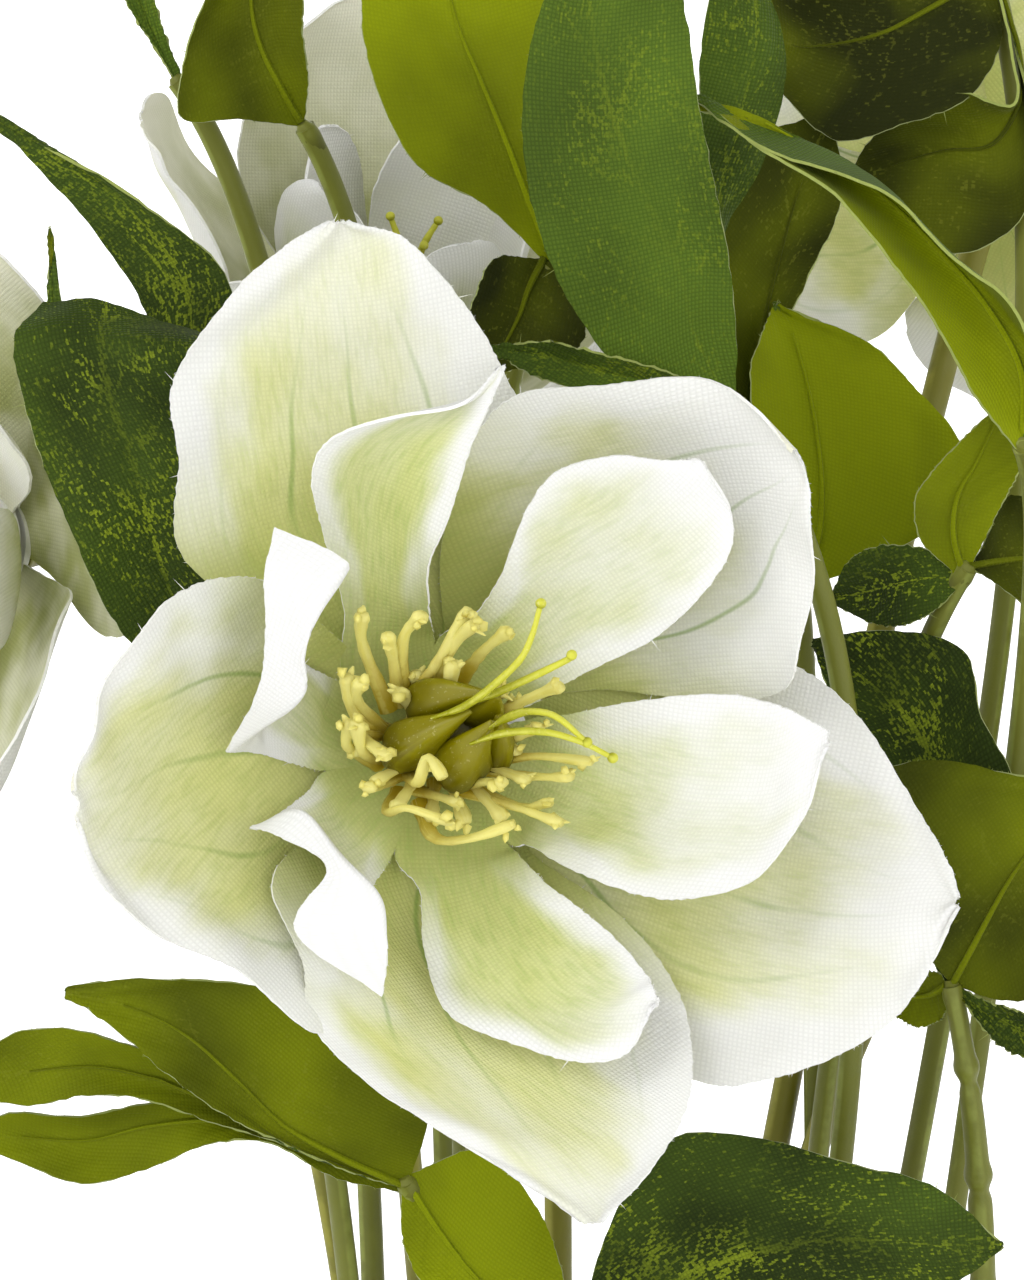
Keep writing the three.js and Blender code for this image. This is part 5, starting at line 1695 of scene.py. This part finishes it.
def light_stage(kit):
    """Light the stage from all round, and with three soft lamps."""
    world = bpy.data.worlds.new("studio_air")
    world.use_nodes = True
    air = world.node_tree.nodes["Background"]
    air.inputs["Color"].default_value = (1.0, 1.0, 1.0, 1.0)
    air.inputs["Strength"].default_value = kit.air
    bpy.context.scene.world = world
    aim = (0, 0, 0.29)
    hang_lamp("key_light", size=0.9, energy=kit.key, spot=(-0.9, -1.3, 1.5), aim=aim)
    hang_lamp("fill_light", size=1.2, energy=kit.key * 0.2, spot=(1.4, -1.2, 0.6), aim=aim)
    hang_lamp("back_light", size=1.0, energy=kit.key * 0.4, spot=(0.3, 1.4, 1.5), aim=aim)
    bpy.context.scene.view_settings.view_transform = "Standard"


def place_camera():
    """Set up the camera: a long lens, close to the front bloom and a little above it."""
    lens = bpy.data.cameras.new("camera")
    lens.lens, lens.sensor_width, lens.sensor_fit = 168.75, 36, "AUTO"
    lens.clip_start, lens.clip_end = 0.01, 50
    camera = bpy.data.objects.new("camera", lens)
    target, tilt, distance = Vector((-0.0048, -0.060, 0.294)), math.radians(5), 0.6
    camera.location = target + Vector((0, -math.cos(tilt), math.sin(tilt))) * distance
    camera.rotation_euler = (target - camera.location).to_track_quat("-Z", "Y").to_euler()
    bpy.context.scene.collection.objects.link(camera)
    bpy.context.scene.camera = camera


# ---- Add-on --------------------------------------------------------------------------------------

# How the plastic of every stem looks.
STEM_LOOK = {"roughness": 0.5, "glow_share": 0.05, "depth": 0.3, "size": 4.0}


def colour_property(name, description, hexcode):
    """Make a colour setting from an sRGB hex value."""
    return bpy.props.FloatVectorProperty(
        name=name, description=description, default=linear(hexcode), size=4, min=0, max=1, subtype="COLOR"
    )


def length_property(name, description, metres):
    """Make a length setting."""
    return bpy.props.FloatProperty(name=name, description=description, default=metres, unit="LENGTH")


class HelleboreCloth(bpy.types.PropertyGroup):
    """Sizes and colours of the cloth petals and leaves."""

    sheet: length_property("Cloth", "Thickness of the stiffened cloth", 0.00032)
    petal_thread: length_property("Petal thread", "From thread to thread in the petals", 0.00043)
    leaf_dark: colour_property("Dark leaf", "Colour of the darkest leaves", "2b390c")
    leaf_light: colour_property("Light leaf", "Colour of the lightest leaves", "5a7320")
    leaf_vein: colour_property("Leaf vein", "Colour of the printed veins", "8fa022")
    under_dark: colour_property("Dark underside", "Colour of the darkest undersides", "262b00")
    under_light: colour_property("Light underside", "Colour of the lightest undersides", "8a9600")
    leaf_thread: length_property("Leaf thread", "From thread to thread in the leaves", 0.0004)


class HelleboreStems(bpy.types.PropertyGroup):
    """Sizes of the moulded stems."""

    flower_stem: length_property("Flower stem", "Radius of the stem of a bloom", 0.0015)
    leaf_stem: length_property("Leaf stem", "Radius of the stem of a leaf", 0.0012)


class HelleborePot(bpy.types.PropertyGroup):
    """Sizes and colours of the pot and its filling."""

    colour: colour_property("Colour", "Colour of the pot", "2b2c2d")
    soil: colour_property("Soil", "Colour of the filling", "2c1f16")
    height: length_property("Height", "Height of the pot", 0.112)
    top_radius: length_property("Top radius", "Radius under the rim's step, at the top", 0.062)
    foot_radius: length_property("Foot radius", "Radius at the foot", 0.046)


class HelleboreStudio(bpy.types.PropertyGroup):
    """Light and floor."""

    paper: colour_property("Paper", "Colour of the floor", "f7f7f7")
    key: bpy.props.FloatProperty(
        name="Key light", description="Power of the main light", default=13.5, unit="POWER"
    )
    air: bpy.props.FloatProperty(
        name="Room light", description="Strength of the light from all round", default=0.47
    )
    table: bpy.props.FloatProperty(
        name="Light table", description="Strength of the light behind the paper", default=0.63
    )


class HELLEBORE_OT_sepals(bpy.types.Operator):
    """Make the outer whorls of the blooms"""

    bl_idname = "hellebore.sepals"
    bl_label = "Sepals"

    def execute(self, context):
        kit = context.scene.hellebore_cloth
        pitch = kit.petal_thread / MM
        inks = {"pale": "ececea", "wash": "d3d58e", "deep": "b3b962", "streak": "a9b862", "vein": "86a448"}
        face = petal_cloth("sepal_polyester_printed", **inks, pitch=pitch)
        back = cloth_back("sepal_polyester_back", plain="e9e8d6", shown="a3a95c", pitch=pitch)
        build_sepals(kit, [face, back, cut_edge("sepal_cut_edge", "e9e9e2")])
        return {"FINISHED"}


class HELLEBORE_OT_petals(bpy.types.Operator):
    """Make the inner whorls of the blooms"""

    bl_idname = "hellebore.petals"
    bl_label = "Petals"

    def execute(self, context):
        kit = context.scene.hellebore_cloth
        pitch = kit.petal_thread / MM
        inks = {"pale": "efefee", "wash": "cdd28b", "deep": "a9b05f", "streak": "97b055", "vein": None}
        face = petal_cloth("petal_polyester_printed", **inks, pitch=pitch)
        back = cloth_back("petal_polyester_back", plain="f0f0f0", shown="e4e6d0", pitch=pitch)
        build_petals(kit, [face, back, cut_edge("petal_cut_edge", "ecece8")])
        return {"FINISHED"}


class HELLEBORE_OT_stamens(bpy.types.Operator):
    """Make the stamens"""

    bl_idname = "hellebore.stamens"
    bl_label = "Stamens"

    def execute(self, context):
        look = {"roughness": 0.36, "glow_share": 0.4, "depth": 0.15, "size": 1.5}
        # The third colour is the painted highlight that runs along the strap.
        plastic = moulded("stamen_soft_polyethylene", "c6b02a", "f0ea92", "e9e07a", **look)
        build_stamens([plastic])
        return {"FINISHED"}


class HELLEBORE_OT_carpels(bpy.types.Operator):
    """Make the seed pods and their styles"""

    bl_idname = "hellebore.carpels"
    bl_label = "Seed pods"

    def execute(self, context):
        dense = {"roughness": 0.36, "glow_share": 0.05, "fleck": 0.1, "depth": 0.12, "size": 3.0}
        clear = {"roughness": 0.32, "glow_share": 0.35, "fleck": 0.2, "depth": 0.15, "size": 1.5}
        # The third colour of each is the painted highlight that runs along it.
        pod = moulded("pod_soft_polyethylene", "544d00", "7d7600", "827d00", **dense)
        style = moulded("style_soft_polyethylene", "a3a414", "dcdc50", "dcdc66", **clear)
        build_carpels([pod, style])
        return {"FINISHED"}


class HELLEBORE_OT_flower_stems(bpy.types.Operator):
    """Make the stems of the blooms"""

    bl_idname = "hellebore.flower_stems"
    bl_label = "Flower stems"

    def execute(self, context):
        # The third colour is the painted highlight on the stem's ridges.
        plastic = moulded("stem_moulded_polyethylene", "5d5b12", "6e6c1c", "95923a", **STEM_LOOK)
        build_flower_stems(context.scene.hellebore_stems, [plastic])
        return {"FINISHED"}


class HELLEBORE_OT_leaves(bpy.types.Operator):
    """Make the leaf sprays"""

    bl_idname = "hellebore.leaves"
    bl_label = "Leaves"

    def execute(self, context):
        kit = context.scene.hellebore_cloth
        stems = context.scene.hellebore_stems
        pitch = kit.leaf_thread / MM
        dark, light, vein = (tuple(c) for c in (kit.leaf_dark, kit.leaf_light, kit.leaf_vein))
        # Shade in each look is the painted shade left in the gaps between threads.
        look = {"inked": 0.9, "speckled": 0.8, "shade": 0.7, "glow": (1.2, 1.4, 0.4), "glow_share": 0.2}
        face = leaf_cloth("leaf_polyester_printed", dark, light, vein, pitch, **look)
        dark, light, vein = tuple(kit.under_dark), tuple(kit.under_light), linear("8c9130")
        look = {"inked": 0.3, "speckled": 0.0, "shade": 0.9, "glow": (1.2, 1.3, 0.3), "glow_share": 0.25}
        back = leaf_cloth("leaf_polyester_back", dark, light, vein, pitch, **look)
        # The third colour is the painted highlight on the stem's ridges.
        stem = moulded("leaf_stem_moulded_polyethylene", "4e5012", "686c22", "868f40", **STEM_LOOK)
        build_leaves(kit, stems, [face, back, cut_edge("leaf_cut_edge", "8f9a4a"), stem])
        return {"FINISHED"}


class HELLEBORE_OT_pot(bpy.types.Operator):
    """Make the pot"""

    bl_idname = "hellebore.pot"
    bl_label = "Pot"

    def execute(self, context):
        kit = context.scene.hellebore_pot
        build_pot(kit, [pot_plastic("pot_moulded_polypropylene", tuple(kit.colour), "4a4b4c")])
        return {"FINISHED"}


class HELLEBORE_OT_soil(bpy.types.Operator):
    """Make the soil"""

    bl_idname = "hellebore.soil"
    bl_label = "Soil"

    def execute(self, context):
        kit = context.scene.hellebore_pot
        build_soil(kit, [potting_soil("soil_peat_and_bark", tuple(kit.soil), "6b4a30")])
        return {"FINISHED"}


class HELLEBORE_OT_stage(bpy.types.Operator):
    """Make the floor, lights and camera"""

    bl_idname = "hellebore.stage"
    bl_label = "Stage"

    def execute(self, context):
        kit = context.scene.hellebore_studio
        lay_floor(kit)
        light_stage(kit)
        place_camera()
        return {"FINISHED"}


OPERATORS = (
    HELLEBORE_OT_stage,
    HELLEBORE_OT_pot,
    HELLEBORE_OT_soil,
    HELLEBORE_OT_flower_stems,
    HELLEBORE_OT_sepals,
    HELLEBORE_OT_petals,
    HELLEBORE_OT_stamens,
    HELLEBORE_OT_carpels,
    HELLEBORE_OT_leaves,
)
SETTINGS = {
    "hellebore_cloth": HelleboreCloth,
    "hellebore_stems": HelleboreStems,
    "hellebore_pot": HelleborePot,
    "hellebore_studio": HelleboreStudio,
}


class HELLEBORE_PT_plant(bpy.types.Panel):
    """Lists the plant's pieces and settings"""

    bl_idname = "HELLEBORE_PT_plant"
    bl_label = "Potted Hellebore"
    bl_space_type = "VIEW_3D"
    bl_region_type = "UI"
    bl_category = "Hellebore"

    def draw(self, context):
        for name, kind in SETTINGS.items():
            box = self.layout.box()
            for key in kind.__annotations__:
                box.prop(getattr(context.scene, name), key)
        for operator in OPERATORS:
            self.layout.operator(operator.bl_idname)


def register():
    """Add the settings, operators and panel."""
    for name, kind in SETTINGS.items():
        bpy.utils.register_class(kind)
        setattr(bpy.types.Scene, name, bpy.props.PointerProperty(type=kind))
    for kind in (*OPERATORS, HELLEBORE_PT_plant):
        bpy.utils.register_class(kind)


def unregister():
    """Take them away again."""
    for kind in (HELLEBORE_PT_plant, *OPERATORS):
        bpy.utils.unregister_class(kind)
    for name, kind in SETTINGS.items():
        delattr(bpy.types.Scene, name)
        bpy.utils.unregister_class(kind)


def main():
    """Build every piece."""
    register()
    for operator in OPERATORS:
        group, name = operator.bl_idname.split(".")
        getattr(getattr(bpy.ops, group), name)()


if __name__ == "__main__":
    main()
